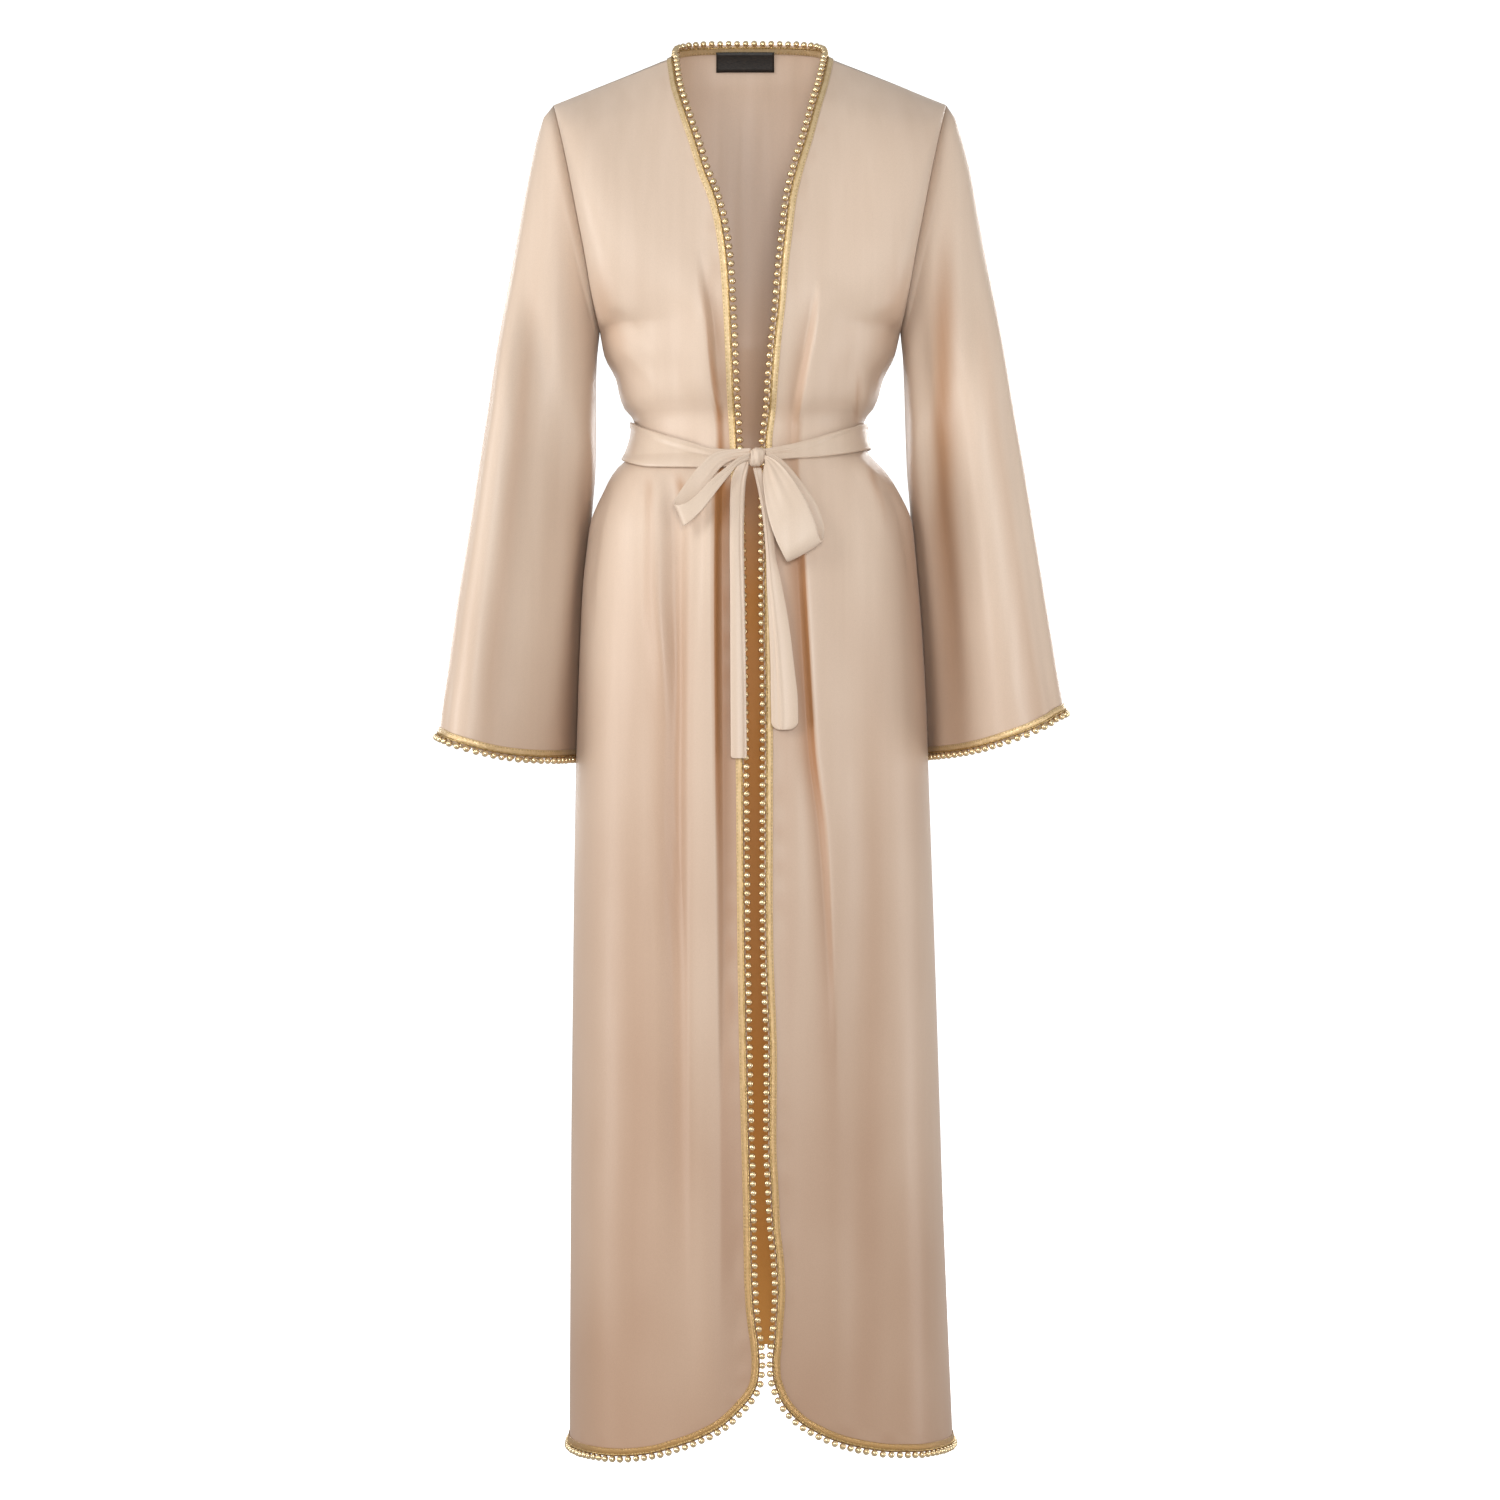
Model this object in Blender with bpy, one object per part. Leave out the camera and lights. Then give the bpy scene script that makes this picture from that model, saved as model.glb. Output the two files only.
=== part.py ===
"""Open-front long cardigan dress with a tied belt, filled out as worn, with nothing inside.

Sizes in the tables are millimetres. X runs to the viewer's right, the fronts face -Y and Z is up.
The origin is between the shoulders, level with the points where the neck meets the shoulder seams.
Left and right are the viewer's.
"""

import math

import bmesh
import bpy
import numpy as np

MM = 0.001
WALL = 1.3  # cloth
SEAM = 0.3  # half of the air between two sewn pieces
TAPE_WIDTH = 7.5
TAPE_WALL = 1.0
LIFT = 0.35  # air between a trim and the cloth under it
BELT_WALL = 1.8
BELT_LIFT = 3.2  # air between the belt and the gathered waist
SQUARE = 0.85  # below 1, the body section is squarer than an ellipse
ARMPIT = -277.0
HEM_TOP = -1230.0  # below this the front corners start to round
BACK_HEM_SIDE = -1382.0
BACK_HEM_RISE = 71.0
NECK_HALF = 76.0
NECK_DEPTH = 62.0
NECK_RISE = 24.0
NECK_SHARE = 0.32  # of the back's columns, on each side, that belong to a shoulder
NECK_POWER = 3.2
YOKE_SOFTENING = 3  # rounds of smoothing across the back's yoke

# height, left half width, right half width, depth in front, depth behind
BODY = np.array([
    (-277, 150.0, 150.0, 122, 100),
    (-300, 145.5, 144.5, 119, 98),
    (-323, 134.0, 133.0, 113, 95),
    (-343, 129.5, 127.5, 106, 92),
    (-354, 124.5, 122.0, 101, 89),
    (-363, 116.0, 114.0, 95, 86),
    (-377, 113.8, 112.3, 93, 84),
    (-395, 118.5, 117.0, 94, 86),
    (-405, 124.5, 124.5, 96, 89),
    (-414, 134.5, 134.0, 102, 95),
    (-435, 146.0, 148.0, 109, 103),
    (-467, 158.5, 162.0, 115, 112),
    (-489, 162.0, 164.5, 118, 117),
    (-527, 166.5, 168.0, 122, 122),
    (-578, 169.5, 172.0, 125, 126),
    (-655, 172.2, 176.2, 128, 128),
    (-700, 173.5, 177.5, 130, 130),
    (-943, 177.0, 186.0, 138, 138),
    (-1143, 179.0, 192.5, 144, 144),
    (-1373, 180.0, 202.0, 150, 150),
], float)

# share of the way up from the armpit, distance from the middle, height, depth
ARMHOLE = np.array([
    (0.00, 150.0, -277, 0),
    (0.08, 151.0, -271, 22),
    (0.15, 153.5, -259, 36),
    (0.24, 157.5, -238, 48),
    (0.36, 163.0, -204, 55),
    (0.50, 171.0, -163, 56),
    (0.64, 179.5, -120, 51),
    (0.78, 187.5, -84, 39),
    (0.88, 192.5, -64, 25),
    (0.96, 195.5, -51, 9),
    (1.00, 196.0, -48, 0),
], float)

# height, x of the open edge
EDGE_LEFT = np.array([
    (0, -76.0), (-17, -73.6), (-33, -71.3), (-53, -66.0), (-73, -59.9), (-101, -50.8),
    (-131, -41.9), (-148, -34.8), (-171, -28.2), (-196, -23.6), (-222, -20.5), (-276, -17.4),
    (-344, -14.6), (-396, -11.7), (-550, -8.0), (-705, -5.8), (-873, -4.3), (-959, -2.9),
    (-1048, -1.0), (-1129, 1.2), (-1200, 2.4), (-1230, 4.0),
], float)
EDGE_RIGHT = np.array([
    (0, 76.0), (-31, 69.6), (-63, 60.9), (-91, 53.8), (-121, 44.9), (-157, 36.4),
    (-187, 33.0), (-222, 29.0), (-261, 26.1), (-293, 22.4), (-327, 19.4), (-360, 17.2),
    (-394, 13.6), (-532, 12.6), (-672, 14.2), (-838, 13.9), (-883, 14.4), (-992, 17.8),
    (-1072, 17.3), (-1113, 19.2), (-1153, 21.1), (-1180, 24.2), (-1212, 25.9), (-1230, 25.0),
], float)
# height, depth of the open edge above the armpit
EDGE_DEPTH = np.array([
    (0, 0), (-14, 18), (-28, 33), (-55, 57), (-90, 76), (-138, 95), (-200, 112), (-250, 120.5),
    (-277, 121.4),
], float)

# x, height: the open edge's lower end, round the corner and along the hem to the side
HEM_LEFT = np.array([
    (4.0, -1230), (6.2, -1248), (8.6, -1265), (9.6, -1282), (7.7, -1300), (3.0, -1311),
    (-5.8, -1322), (-15.3, -1332), (-26.8, -1342), (-41.2, -1350.5), (-55.6, -1357.5),
    (-72.8, -1364), (-89.6, -1370), (-106.0, -1374), (-120.6, -1376.5), (-151.0, -1379),
    (-169.0, -1381), (-180.0, -1382),
], float)
HEM_RIGHT = np.array([
    (25.0, -1230), (24.0, -1244), (22.6, -1264), (21.0, -1279), (21.4, -1293), (24.9, -1306),
    (30.5, -1319), (39.3, -1330.5), (50.8, -1341), (64.2, -1349), (76.7, -1355.5),
    (93.0, -1362), (110.0, -1367), (132.5, -1372), (149.4, -1374), (164.6, -1376),
    (180.0, -1377.5), (194.0, -1379.5), (202.0, -1381),
], float)

# height, then the x of each line of vertices that a fold needs
LINES_LEFT = np.array([
    (-277, -84, -43.0, -35.5),
    (-333, -84, -36.7, -29.5),
    (-390, -88, -29.5, -23.0),
    (-422, -91, -32.9, -26.0),
    (-530, -91, -34.0, -27.0),
    (-703, -80, -33.0, -25.0),
    (-935, -62, -33.0, -23.0),
    (-1230, -62, -34.0, -21.0),
], float)
LINES_RIGHT = np.array([
    (-277, 110, 65.0, 57.5),
    (-318, 110, 56.1, 49.0),
    (-348, 109, 50.3, 43.0),
    (-390, 108, 46.4, 39.5),
    (-430, 112, 50.0, 42.5),
    (-509, 118, 53.2, 45.0),
    (-598, 122, 58.0, 49.0),
    (-694, 125, 64.0, 54.0),
    (-772, 128, 73.5, 62.0),
    (-839, 130, 77.4, 66.0),
    (-935, 132, 82.0, 69.0),
    (-1230, 135, 84.0, 68.0),
], float)

# Folds of the fronts: width on the side seam's side, width on the edge's side, and
# the line of the fold as x, height, how far it stands out.
FOLDS_LEFT = (
    (42, 7, ((-56, -205, 0), (-49, -240, 2.5), (-42.5, -273, 6.5), (-36.7, -333, 9), (-31, -372, 2),
             (-31, -418, 1.6), (-33, -442, 6.5), (-34, -509, 9.5), (-33, -703, 8), (-32, -935, 3),
             (-32, -1050, 0))),
    (16, 16, ((-91, -417, 0), (-91, -445, 5), (-91, -530, 5), (-80, -640, 2), (-70, -760, 0))),
    (17, 13, ((-70, -430, 0), (-70, -500, -5), (-71, -700, -6), (-70, -1000, -5), (-68, -1240, 0))),
    (36, 36, ((-135, -560, 0), (-138, -800, 4), (-138, -1200, 5), (-138, -1390, 4))),
    (30, 30, ((-40, -1000, 0), (-38, -1200, 4), (-36, -1300, 3), (-34, -1360, 0))),
)
FOLDS_RIGHT = (
    (42, 7.5, ((70, -235, 0), (66, -265, 5), (61.9, -289, 8), (56.1, -318, 9), (50.3, -348, 8),
               (47, -374, 2), (46.4, -415, 1.6), (50, -440, 6.5), (53.2, -509, 9.5), (58, -598, 9.5),
               (64, -694, 9), (73.5, -772, 7.5), (81, -894, 4), (84, -1000, 0))),
    (14, 10, ((112, -315, 0), (110, -345, 3.5), (107, -362, 1), (107, -370, 0))),
    (16, 14, ((109, -406, 0), (113, -425, 3.5), (124, -445, 3.5), (130, -490, 0))),
    (36, 36, ((150, -600, 0), (152, -850, 4), (158, -1200, 6), (160, -1390, 5))),
    (34, 34, ((100, -800, 0), (106, -1000, -5), (108, -1250, -5), (108, -1390, -3))),
)
# Folds of the back: half width, and the line as angle round from the left side seam,
# height, how far it stands out. The belt gathers them at the waist.
FOLDS_BACK = (
    (9, ((46, -215, 0), (52, -300, 5), (57, -345, 5), (58, -360, 1.5), (58, -399, 1.5),
         (57, -425, 6), (52, -560, 7), (46, -900, 5), (44, -1360, 6))),
    (8, ((76, -240, 0), (80, -310, 5), (83, -345, 4), (83, -360, 1.5), (83, -399, 1.5),
         (82, -425, 6), (78, -620, 7), (72, -1000, 6), (70, -1340, 6))),
    (8, ((104, -225, 0), (101, -310, 5), (99, -345, 5), (98, -360, 1.5), (98, -399, 1.5),
         (99, -425, 6), (103, -600, 7), (106, -1000, 6), (108, -1340, 7))),
    (9, ((136, -215, 0), (130, -300, 5), (125, -345, 4), (124, -360, 1.5), (124, -399, 1.5),
         (126, -425, 6), (132, -620, 7), (136, -900, 5), (138, -1360, 6))),
    (7, ((18, -720, 0), (17, -820, 4), (16, -1000, 4), (16, -1370, 4))),
    (7, ((163, -720, 0), (163, -820, 4), (163, -1000, 5), (164, -1370, 4))),
)

# share of the sleeve's length, inner x and height, outer x and height, half depth
SLEEVE_LEFT = np.array([
    (0.03, 151.5, -287, 206.0, -61, 56.5),
    (0.08, 153.0, -303, 213.5, -85, 58.5),
    (0.15, 153.8, -330, 220.5, -118, 61.0),
    (0.23, 153.8, -366, 228.5, -160, 63.5),
    (0.32, 154.5, -408, 237.5, -212, 66.0),
    (0.42, 158.8, -455, 246.5, -272, 68.5),
    (0.52, 162.5, -502, 255.0, -337, 71.0),
    (0.62, 166.2, -548, 265.5, -404, 74.0),
    (0.72, 168.6, -592, 276.0, -473, 76.5),
    (0.82, 170.2, -634, 288.0, -546, 79.5),
    (0.91, 171.8, -670, 297.5, -613, 82.0),
    (1.00, 172.9, -700, 306.5, -678, 84.0),
], float)
SLEEVE_RIGHT = np.array([
    (0.03, 151.5, -287, 204.5, -61, 56.5),
    (0.08, 153.2, -303, 213.0, -84, 58.5),
    (0.15, 154.5, -330, 221.5, -116, 61.0),
    (0.23, 155.5, -366, 229.0, -158, 63.5),
    (0.32, 157.0, -408, 237.5, -210, 66.0),
    (0.42, 161.5, -455, 246.5, -270, 68.5),
    (0.52, 164.5, -502, 255.5, -333, 71.0),
    (0.62, 168.8, -548, 267.0, -400, 74.0),
    (0.72, 171.9, -592, 278.0, -466, 76.5),
    (0.82, 173.9, -634, 289.0, -534, 79.5),
    (0.91, 175.8, -670, 299.0, -596, 82.0),
    (1.00, 177.0, -698, 309.5, -655, 84.0),
], float)
SLEEVE_BACKSET = -8.0  # how far forward the cuff hangs
SLEEVE_TURN = 44.0  # how far the sleeve's inner edge hangs back, and its outer edge forward
CUFF_SAG = 9.0
# Folds of the sleeves: half width in degrees round the ring (0 is the armpit side, 90 the
# front, 180 the outside), and the line as angle, share of the length, how far it stands out.
FOLDS_SLEEVE_LEFT = (
    (26, ((150, 0.10, 0), (140, 0.35, 4), (132, 0.75, 5), (128, 1.0, 4))),
    (20, ((100, 0.22, 0), (96, 0.5, -5), (92, 0.8, -5), (90, 1.0, -3))),
    (22, ((48, 0.3, 0), (50, 0.6, 4), (52, 1.0, 3))),
    (26, ((222, 0.15, 0), (226, 0.5, 5), (228, 1.0, 6))),
    (24, ((300, 0.2, 0), (296, 0.6, -4), (292, 1.0, -5))),
)
FOLDS_SLEEVE_RIGHT = (
    (22, ((50, 0.05, 0), (52, 0.25, -5), (56, 0.6, -6), (56, 1.0, -2))),
    (24, ((104, 0.15, 0), (104, 0.4, 5), (100, 0.8, 4), (98, 1.0, 3))),
    (24, ((150, 0.3, 0), (148, 0.7, -4), (146, 1.0, -4))),
    (26, ((230, 0.15, 0), (232, 0.5, 5), (230, 1.0, 6))),
    (22, ((290, 0.2, 0), (288, 0.6, -4), (286, 1.0, -4))),
)

# heights of the rows below the armpit
ROWS = (-277, -293, -311, -330, -348, -363, -379, -396, -412, -436, -465, -500, -545, -600, -660,
        -730, -820, -910, -1010, -1120, -1230)
CORNER_ROWS = 5
CORNER_CUT = 0.41  # share of the hem line's length, from its top, that lies along the rows

# The belt round the waist: angle from the left of the front middle, all the way round
# past the back (180 is the middle of the back), top and bottom height
BELT = np.array([
    (-2, -402.5, -418), (16, -400.5, -420), (30, -392, -419), (45, -384.5, -417.5),
    (60, -377, -413), (78, -368.5, -408), (90, -364.5, -405), (120, -361, -400),
    (150, -360, -398), (180, -360, -398), (210, -361, -397), (240, -363.5, -395),
    (270, -366.5, -394), (285, -369, -397), (300, -375, -401), (315, -382, -405),
    (330, -390, -409.5), (344, -397, -412), (357, -402.5, -415),
], float)
BELT_CROWN = 1.2

KNOT_AT = (6.6, -115.0, -409.5)
KNOT_RADII = (7.6, 8.0, 9.6)

# Loops of the bow, from the back of the knot out to the fold and back to the front of the
# knot: x, y, height of the upper edge, then of the lower edge
LOOP_LEFT = np.array([
    (0.9, -114.8, -400.9, -0.5, -114.8, -408.7),
    (-14.5, -116.0, -401.6, -12.5, -115.6, -411.0),
    (-32.9, -118.0, -404.2, -25.0, -118.0, -416.8),
    (-49.3, -120.5, -418.4, -37.0, -120.5, -431.0),
    (-64.7, -123.0, -438.8, -48.5, -123.5, -449.0),
    (-71.8, -126.5, -450.4, -56.0, -127.0, -462.0),
    (-73.6, -130.5, -455.5, -64.5, -131.5, -477.0),
    (-71.2, -134.5, -457.5, -64.4, -136.0, -478.6),
    (-64.5, -137.5, -456.5, -58.5, -139.5, -474.0),
    (-53.5, -137.0, -449.5, -47.5, -139.5, -463.5),
    (-38.5, -133.5, -433.5, -31.8, -135.5, -443.5),
    (-21.8, -127.0, -419.2, -19.0, -128.0, -426.5),
    (-9.5, -122.5, -409.5, -10.0, -123.0, -416.0),
    (0.2, -119.2, -405.6, -1.2, -119.2, -412.4),
], float)
LOOP_RIGHT = np.array([
    (14.2, -113.6, -402.2, 16.2, -113.6, -409.8),
    (24.0, -117.0, -407.0, 20.0, -116.5, -418.0),
    (33.8, -122.0, -415.1, 18.5, -121.0, -432.4),
    (51.1, -127.0, -436.3, 21.5, -126.0, -459.5),
    (66.6, -131.0, -461.4, 29.0, -131.0, -488.4),
    (71.8, -134.5, -482.6, 35.5, -135.0, -506.5),
    (70.2, -139.5, -493.0, 36.5, -141.0, -512.8),
    (66.5, -145.0, -491.5, 35.0, -147.0, -511.8),
    (64.6, -147.0, -482.0, 31.5, -148.5, -505.0),
    (57.5, -146.0, -461.5, 23.5, -148.0, -488.0),
    (44.5, -140.5, -437.0, 15.5, -142.0, -459.0),
    (29.5, -131.0, -417.5, 12.8, -132.5, -432.0),
    (21.0, -125.0, -410.5, 13.5, -125.5, -420.5),
    (13.4, -119.2, -407.6, 15.4, -119.2, -414.4),
], float)
# Tails: middle x, height, width; they hang just off the fronts
TAIL_LEFT = np.array([
    (-4.0, -412, 7), (-8.5, -422, 13), (-11.3, -434, 14.5), (-12.4, -456, 14.2), (-12.8, -490, 13.8),
    (-12.2, -540, 14.2), (-11.6, -600, 15), (-11.2, -650, 15.3), (-10.8, -701, 15.5),
], float)
TAIL_RIGHT = np.array([
    (7.0, -419.7, 8), (13.5, -448, 9), (18.0, -480, 9), (19.6, -500, 9), (23.0, -530, 14),
    (27.5, -568, 19), (31.5, -618, 23.5), (33.0, -645, 26), (33.4, -665, 26), (33.0, -673.5, 22),
], float)
TAIL_LIFT = 5.5
TAIL_WALL = 1.8

LABEL_X = (-35.0, -20.0, -5.0, 10.0, 25.0)
LABEL_ROWS = (0.35, 1.0, 1.5)  # rows of the back's grid, counted down from the neck
LABEL_WALL = 1.0
LABEL_LIFT = 0.5


def smooth(table, column, at):
    """A curve through one column of a table, at values of its first column, with no overshoot."""
    order = np.argsort(table[:, 0])
    x, y = table[order, 0], table[order, column]
    step = np.diff(x)
    slope = np.diff(y) / step
    tilt = np.zeros(len(x))
    tilt[0], tilt[-1] = slope[0], slope[-1]
    for i in range(1, len(x) - 1):
        if slope[i - 1] * slope[i] > 0:
            a, b = 2 * step[i] + step[i - 1], step[i] + 2 * step[i - 1]
            tilt[i] = (a + b) / (a / slope[i - 1] + b / slope[i])
    at = np.clip(np.asarray(at, float), x[0], x[-1])
    i = np.clip(np.searchsorted(x, at) - 1, 0, len(x) - 2)
    t, h = (at - x[i]) / step[i], step[i]
    start = y[i] * (1 + 2 * t) * (1 - t) ** 2 + h * tilt[i] * t * (1 - t) ** 2
    return start + y[i + 1] * t * t * (3 - 2 * t) + h * tilt[i + 1] * t * t * (t - 1)


def front_point(side, angle, z):
    """A point of a front below the armpit; the angle is 0 at the side seam, 90 in the middle."""
    width = smooth(BODY, 1 if side < 0 else 2, z)
    depth = smooth(BODY, 3, z)
    bend = np.maximum(np.sin(angle), 0.0) ** SQUARE
    return np.stack([side * width * np.cos(angle), -depth * bend, np.asarray(z, float) + 0 * bend], -1)


def front_angle(side, x, z):
    width = smooth(BODY, 1 if side < 0 else 2, z)
    return np.arccos(np.clip(side * np.asarray(x, float) / width, -1, 1))


def back_point(angle, z):
    """A point of the back below the armpit; the angle is 0 at the left seam, 180 at the right."""
    left, right = smooth(BODY, 1, z), smooth(BODY, 2, z)
    share = (1 - np.cos(angle)) / 2
    width = left * (1 - share) + right * share
    bend = np.maximum(np.sin(angle), 0.0) ** SQUARE
    depth = smooth(BODY, 4, z)
    return np.stack([-width * np.cos(angle), depth * bend, np.asarray(z, float) + 0 * bend], -1)


def bump(distance):
    """1 in the middle and 0 from a distance of 1 on, with a soft foot."""
    return np.where(np.abs(distance) < 1, np.cos(np.clip(distance, -1, 1) * math.pi / 2) ** 2, 0.0)


def ease(share):
    """0 below 0, 1 above 1 and a soft rise between."""
    share = min(max(share, 0.0), 1.0)
    return share * share * (3 - 2 * share)


def along(line, at, column):
    """One column of a fold's line at a height or share."""
    rows = sorted(line, key=lambda row: row[1])
    keys = [row[1] for row in rows]
    return np.interp(at, keys, [row[column] for row in rows])


def front_folds(side, folds, points):
    x, z = points[:, 0], points[:, 2]
    out = np.zeros(len(points))
    for seam_width, edge_width, line in folds:
        keys = [row[1] for row in line]
        offset = (x - along(line, z, 0)) * -side  # positive towards the edge
        width = np.where(offset > 0, edge_width, seam_width)
        inside = (z <= max(keys)) & (z >= min(keys))
        out += np.where(inside, along(line, z, 2) * bump(offset / width), 0.0)
    return out


def round_folds(folds, degrees, at):
    out = np.zeros(len(degrees))
    for width, line in folds:
        keys = [row[1] for row in line]
        turn = (degrees - along(line, at, 0) + 180) % 360 - 180
        inside = (at <= max(keys)) & (at >= min(keys))
        out += np.where(inside, along(line, at, 2) * bump(turn / width), 0.0)
    return out


def normals_of(points, quads):
    """Normals at the points, by area, of a mesh of quads that wind outwards."""
    total = np.zeros_like(points)
    q = np.array(quads)
    face = np.cross(points[q[:, 2]] - points[q[:, 0]], points[q[:, 3]] - points[q[:, 1]])
    for k in range(4):
        np.add.at(total, q[:, k], face)
    return total / np.maximum(np.linalg.norm(total, axis=1), 1e-9)[:, None]


def add_material(name, colour, roughness, metallic=0.0):
    material = bpy.data.materials.new(name)
    material.use_nodes = True
    shader = material.node_tree.nodes["Principled BSDF"]
    shader.inputs["Base Color"].default_value = (*colour, 1.0)
    shader.inputs["Roughness"].default_value = roughness
    shader.inputs["Metallic"].default_value = metallic
    return material


def add_solid(name, points, triangles, material):
    mesh = bpy.data.meshes.new(name)
    mesh.from_pydata([tuple(float(c) * MM for c in p) for p in points], [], triangles)
    mesh.validate()
    solid = bpy.data.objects.new(name, mesh)
    mesh.materials.append(material)
    PARTS.objects.link(solid)
    tidy = bmesh.new()
    tidy.from_mesh(mesh)
    bmesh.ops.recalc_face_normals(tidy, faces=tidy.faces)
    tidy.to_mesh(mesh)
    tidy.free()
    return solid


def add_wall(name, outer, inner, quads, material):
    """A closed wall between two copies of a mesh of quads."""
    count = len(outer)
    used = {}
    triangles = []
    for a, b, c, d in quads:
        for u, v in ((a, b), (b, c), (c, d), (d, a)):
            used[(u, v)] = used.get((u, v), 0) + 1
        triangles += [(a, b, c), (a, c, d)]
        triangles += [(a + count, c + count, b + count), (a + count, d + count, c + count)]
    for u, v in used:
        if (v, u) not in used:
            triangles += [(v, u, u + count), (v, u + count, v + count)]
    points = np.concatenate([outer, inner])
    keep = sorted({i for t in triangles for i in t})
    place = {old: new for new, old in enumerate(keep)}
    triangles = [tuple(place[i] for i in t) for t in triangles]
    return add_solid(name, points[keep], triangles, material)


def grid_quads(rows, columns, closed=False):
    quads = []
    for i in range(rows - 1):
        for j in range(columns if closed else columns - 1):
            k = (j + 1) % columns
            quads.append((i * columns + j, (i + 1) * columns + j, (i + 1) * columns + k, i * columns + k))
    return quads


def flip(quads):
    return [tuple(reversed(q)) for q in quads]


def split(start, end, count):
    """Values after the start, up to the end, evenly spaced."""
    return [start + (end - start) * k / count for k in range(1, count + 1)]


def front_columns(side, z, lines, shares, edge):
    """Angles of a front's columns at a height, from the side seam to the tape's inner edge."""
    marks = [front_angle(side, smooth(lines, k + 1, z), z) for k in range(3)]
    inner = front_angle(side, smooth(edge, 1, z) + side * TAPE_WIDTH, z)
    marks.append(inner)
    angles = [0.0]
    for mark, count in zip(marks, shares):
        angles += split(angles[-1], float(mark), count)
    return angles


def walk(points, distances):
    """Points at distances along a polyline."""
    steps = np.linalg.norm(np.diff(points, axis=0), axis=1)
    run = np.concatenate([[0], np.cumsum(steps)])
    return np.stack([np.interp(distances, run, points[:, k]) for k in range(points.shape[1])], -1)


def front_panel(side, lines, shares, edge, hem, folds):
    """Points, quads, the tape's quads and fixed normals of one front."""
    rows = []
    # Below the armpit, down to where the corner starts to round.
    for z in ROWS:
        angles = front_columns(side, z, lines, shares, edge)
        row = front_point(side, np.array(angles), z)
        end = front_point(side, front_angle(side, smooth(edge, 1, z), z), z)
        rows.append(np.vstack([row, end[None]]))
    columns = len(rows[0])
    # The yoke, from the shoulder seam down to the armpit.
    bottom = rows[0]
    share = (bottom[:, 0] - bottom[0, 0]) / (bottom[-1, 0] - bottom[0, 0])
    tip = ARMHOLE[-1]
    seam_start = np.array([side * tip[1], 0, tip[2]])
    seam_end = np.array([side * NECK_HALF, 0, 0])
    top = seam_start + (seam_end - seam_start) * share[:, None]
    yoke = []
    for level, x, z, depth in ARMHOLE[:0:-1]:
        edge_z = ARMPIT * (1 - level)
        edge_depth = smooth(EDGE_DEPTH, 1, edge_z)
        inner = np.array([smooth(edge, 1, edge_z), -edge_depth, edge_z])
        outer = np.array([side * x, -depth, z])
        row = bottom + (top - bottom) * level
        row[:, 1] = bottom[:, 1] * edge_depth / EDGE_DEPTH[-1, 1]
        row += (outer - row[0]) * ((1 - share) ** 2)[:, None] + (inner - row[-1]) * share[:, None]
        yoke.append(row)
    rows = yoke + rows
    # The hem line with its rounded corner, as angle and height.
    track = np.stack([front_angle(side, hem[:, 0], hem[:, 1]), hem[:, 1]], -1)
    reach = smooth(BODY, 1 if side < 0 else 2, hem[:, 1])

    def flat(p):  # angle and height to millimetres on the cloth, near enough
        return np.stack([p[:, 0] * np.interp(p[:, 1], hem[::-1, 1], reach[::-1]), p[:, 1]], -1)

    width = float(reach.mean())
    ruler = track * np.array([width, 1.0])
    length = float(np.linalg.norm(np.diff(ruler, axis=0), axis=1).sum())
    corner = length * CORNER_CUT
    last = np.array(front_columns(side, HEM_TOP, lines, shares, edge))
    fraction = last / last[-1]
    down = [corner * k / CORNER_ROWS for k in range(CORNER_ROWS + 1)]
    across = corner + (length - corner) * (1 - fraction)
    nudge = 1.0
    path = {}
    for key, distances in (("down", np.array(down)), ("across", across)):
        here = walk(ruler, distances)
        ahead = walk(ruler, np.minimum(distances + nudge, length))
        behind = walk(ruler, np.maximum(distances - nudge, 0))
        heading = ahead - behind
        heading /= np.linalg.norm(heading, axis=1)[:, None]
        inward = np.stack([heading[:, 1], -heading[:, 0]], -1)  # angle falls towards the side
        path[key] = (here, here + inward * TAPE_WIDTH)
    path["down"][1][0] = (last[-1] * width, HEM_TOP)
    path["across"][1][0, 0] = 0.0
    scale = np.array([1 / width, 1.0])
    right = path["down"][1] * scale
    low = path["across"][1] * scale
    ends = path["down"][0] * scale
    block = []
    for k in range(1, CORNER_ROWS + 1):
        f = k / CORNER_ROWS
        g = fraction[:, None]
        up = np.stack([last, np.full(len(last), HEM_TOP)], -1)
        left = up[0] + (low[0] - up[0]) * f
        mix = (1 - f) * up + f * low + (1 - g) * left + g * right[k]
        mix -= (1 - f) * ((1 - g) * up[0] + g * up[-1]) + f * ((1 - g) * low[0] + g * low[-1])
        block.append(mix)
    for k, mix in enumerate(block):
        row = front_point(side, mix[:, 0], mix[:, 1])
        end = front_point(side, ends[k + 1, 0], ends[k + 1, 1])
        rows.append(np.vstack([row, end[None]]))
    points = np.concatenate(rows)
    count = len(rows)
    # The tape's outer line along the hem, from the corner to the side.
    fringe = path["across"][0] * scale
    below = front_point(side, fringe[:-1, 0], fringe[:-1, 1])
    quads = grid_quads(count, columns)
    start = len(points)
    points = np.concatenate([points, below])
    base = (count - 1) * columns
    tape = [q for q in quads if q[0] % columns == columns - 2]
    for j in range(columns - 2):
        here, there = start + j, start + j + 1
        if j == columns - 3:
            there = base + columns - 1
        quad = (base + j, here, there, base + j + 1)
        quads.append(quad)
        tape.append(quad)
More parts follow.
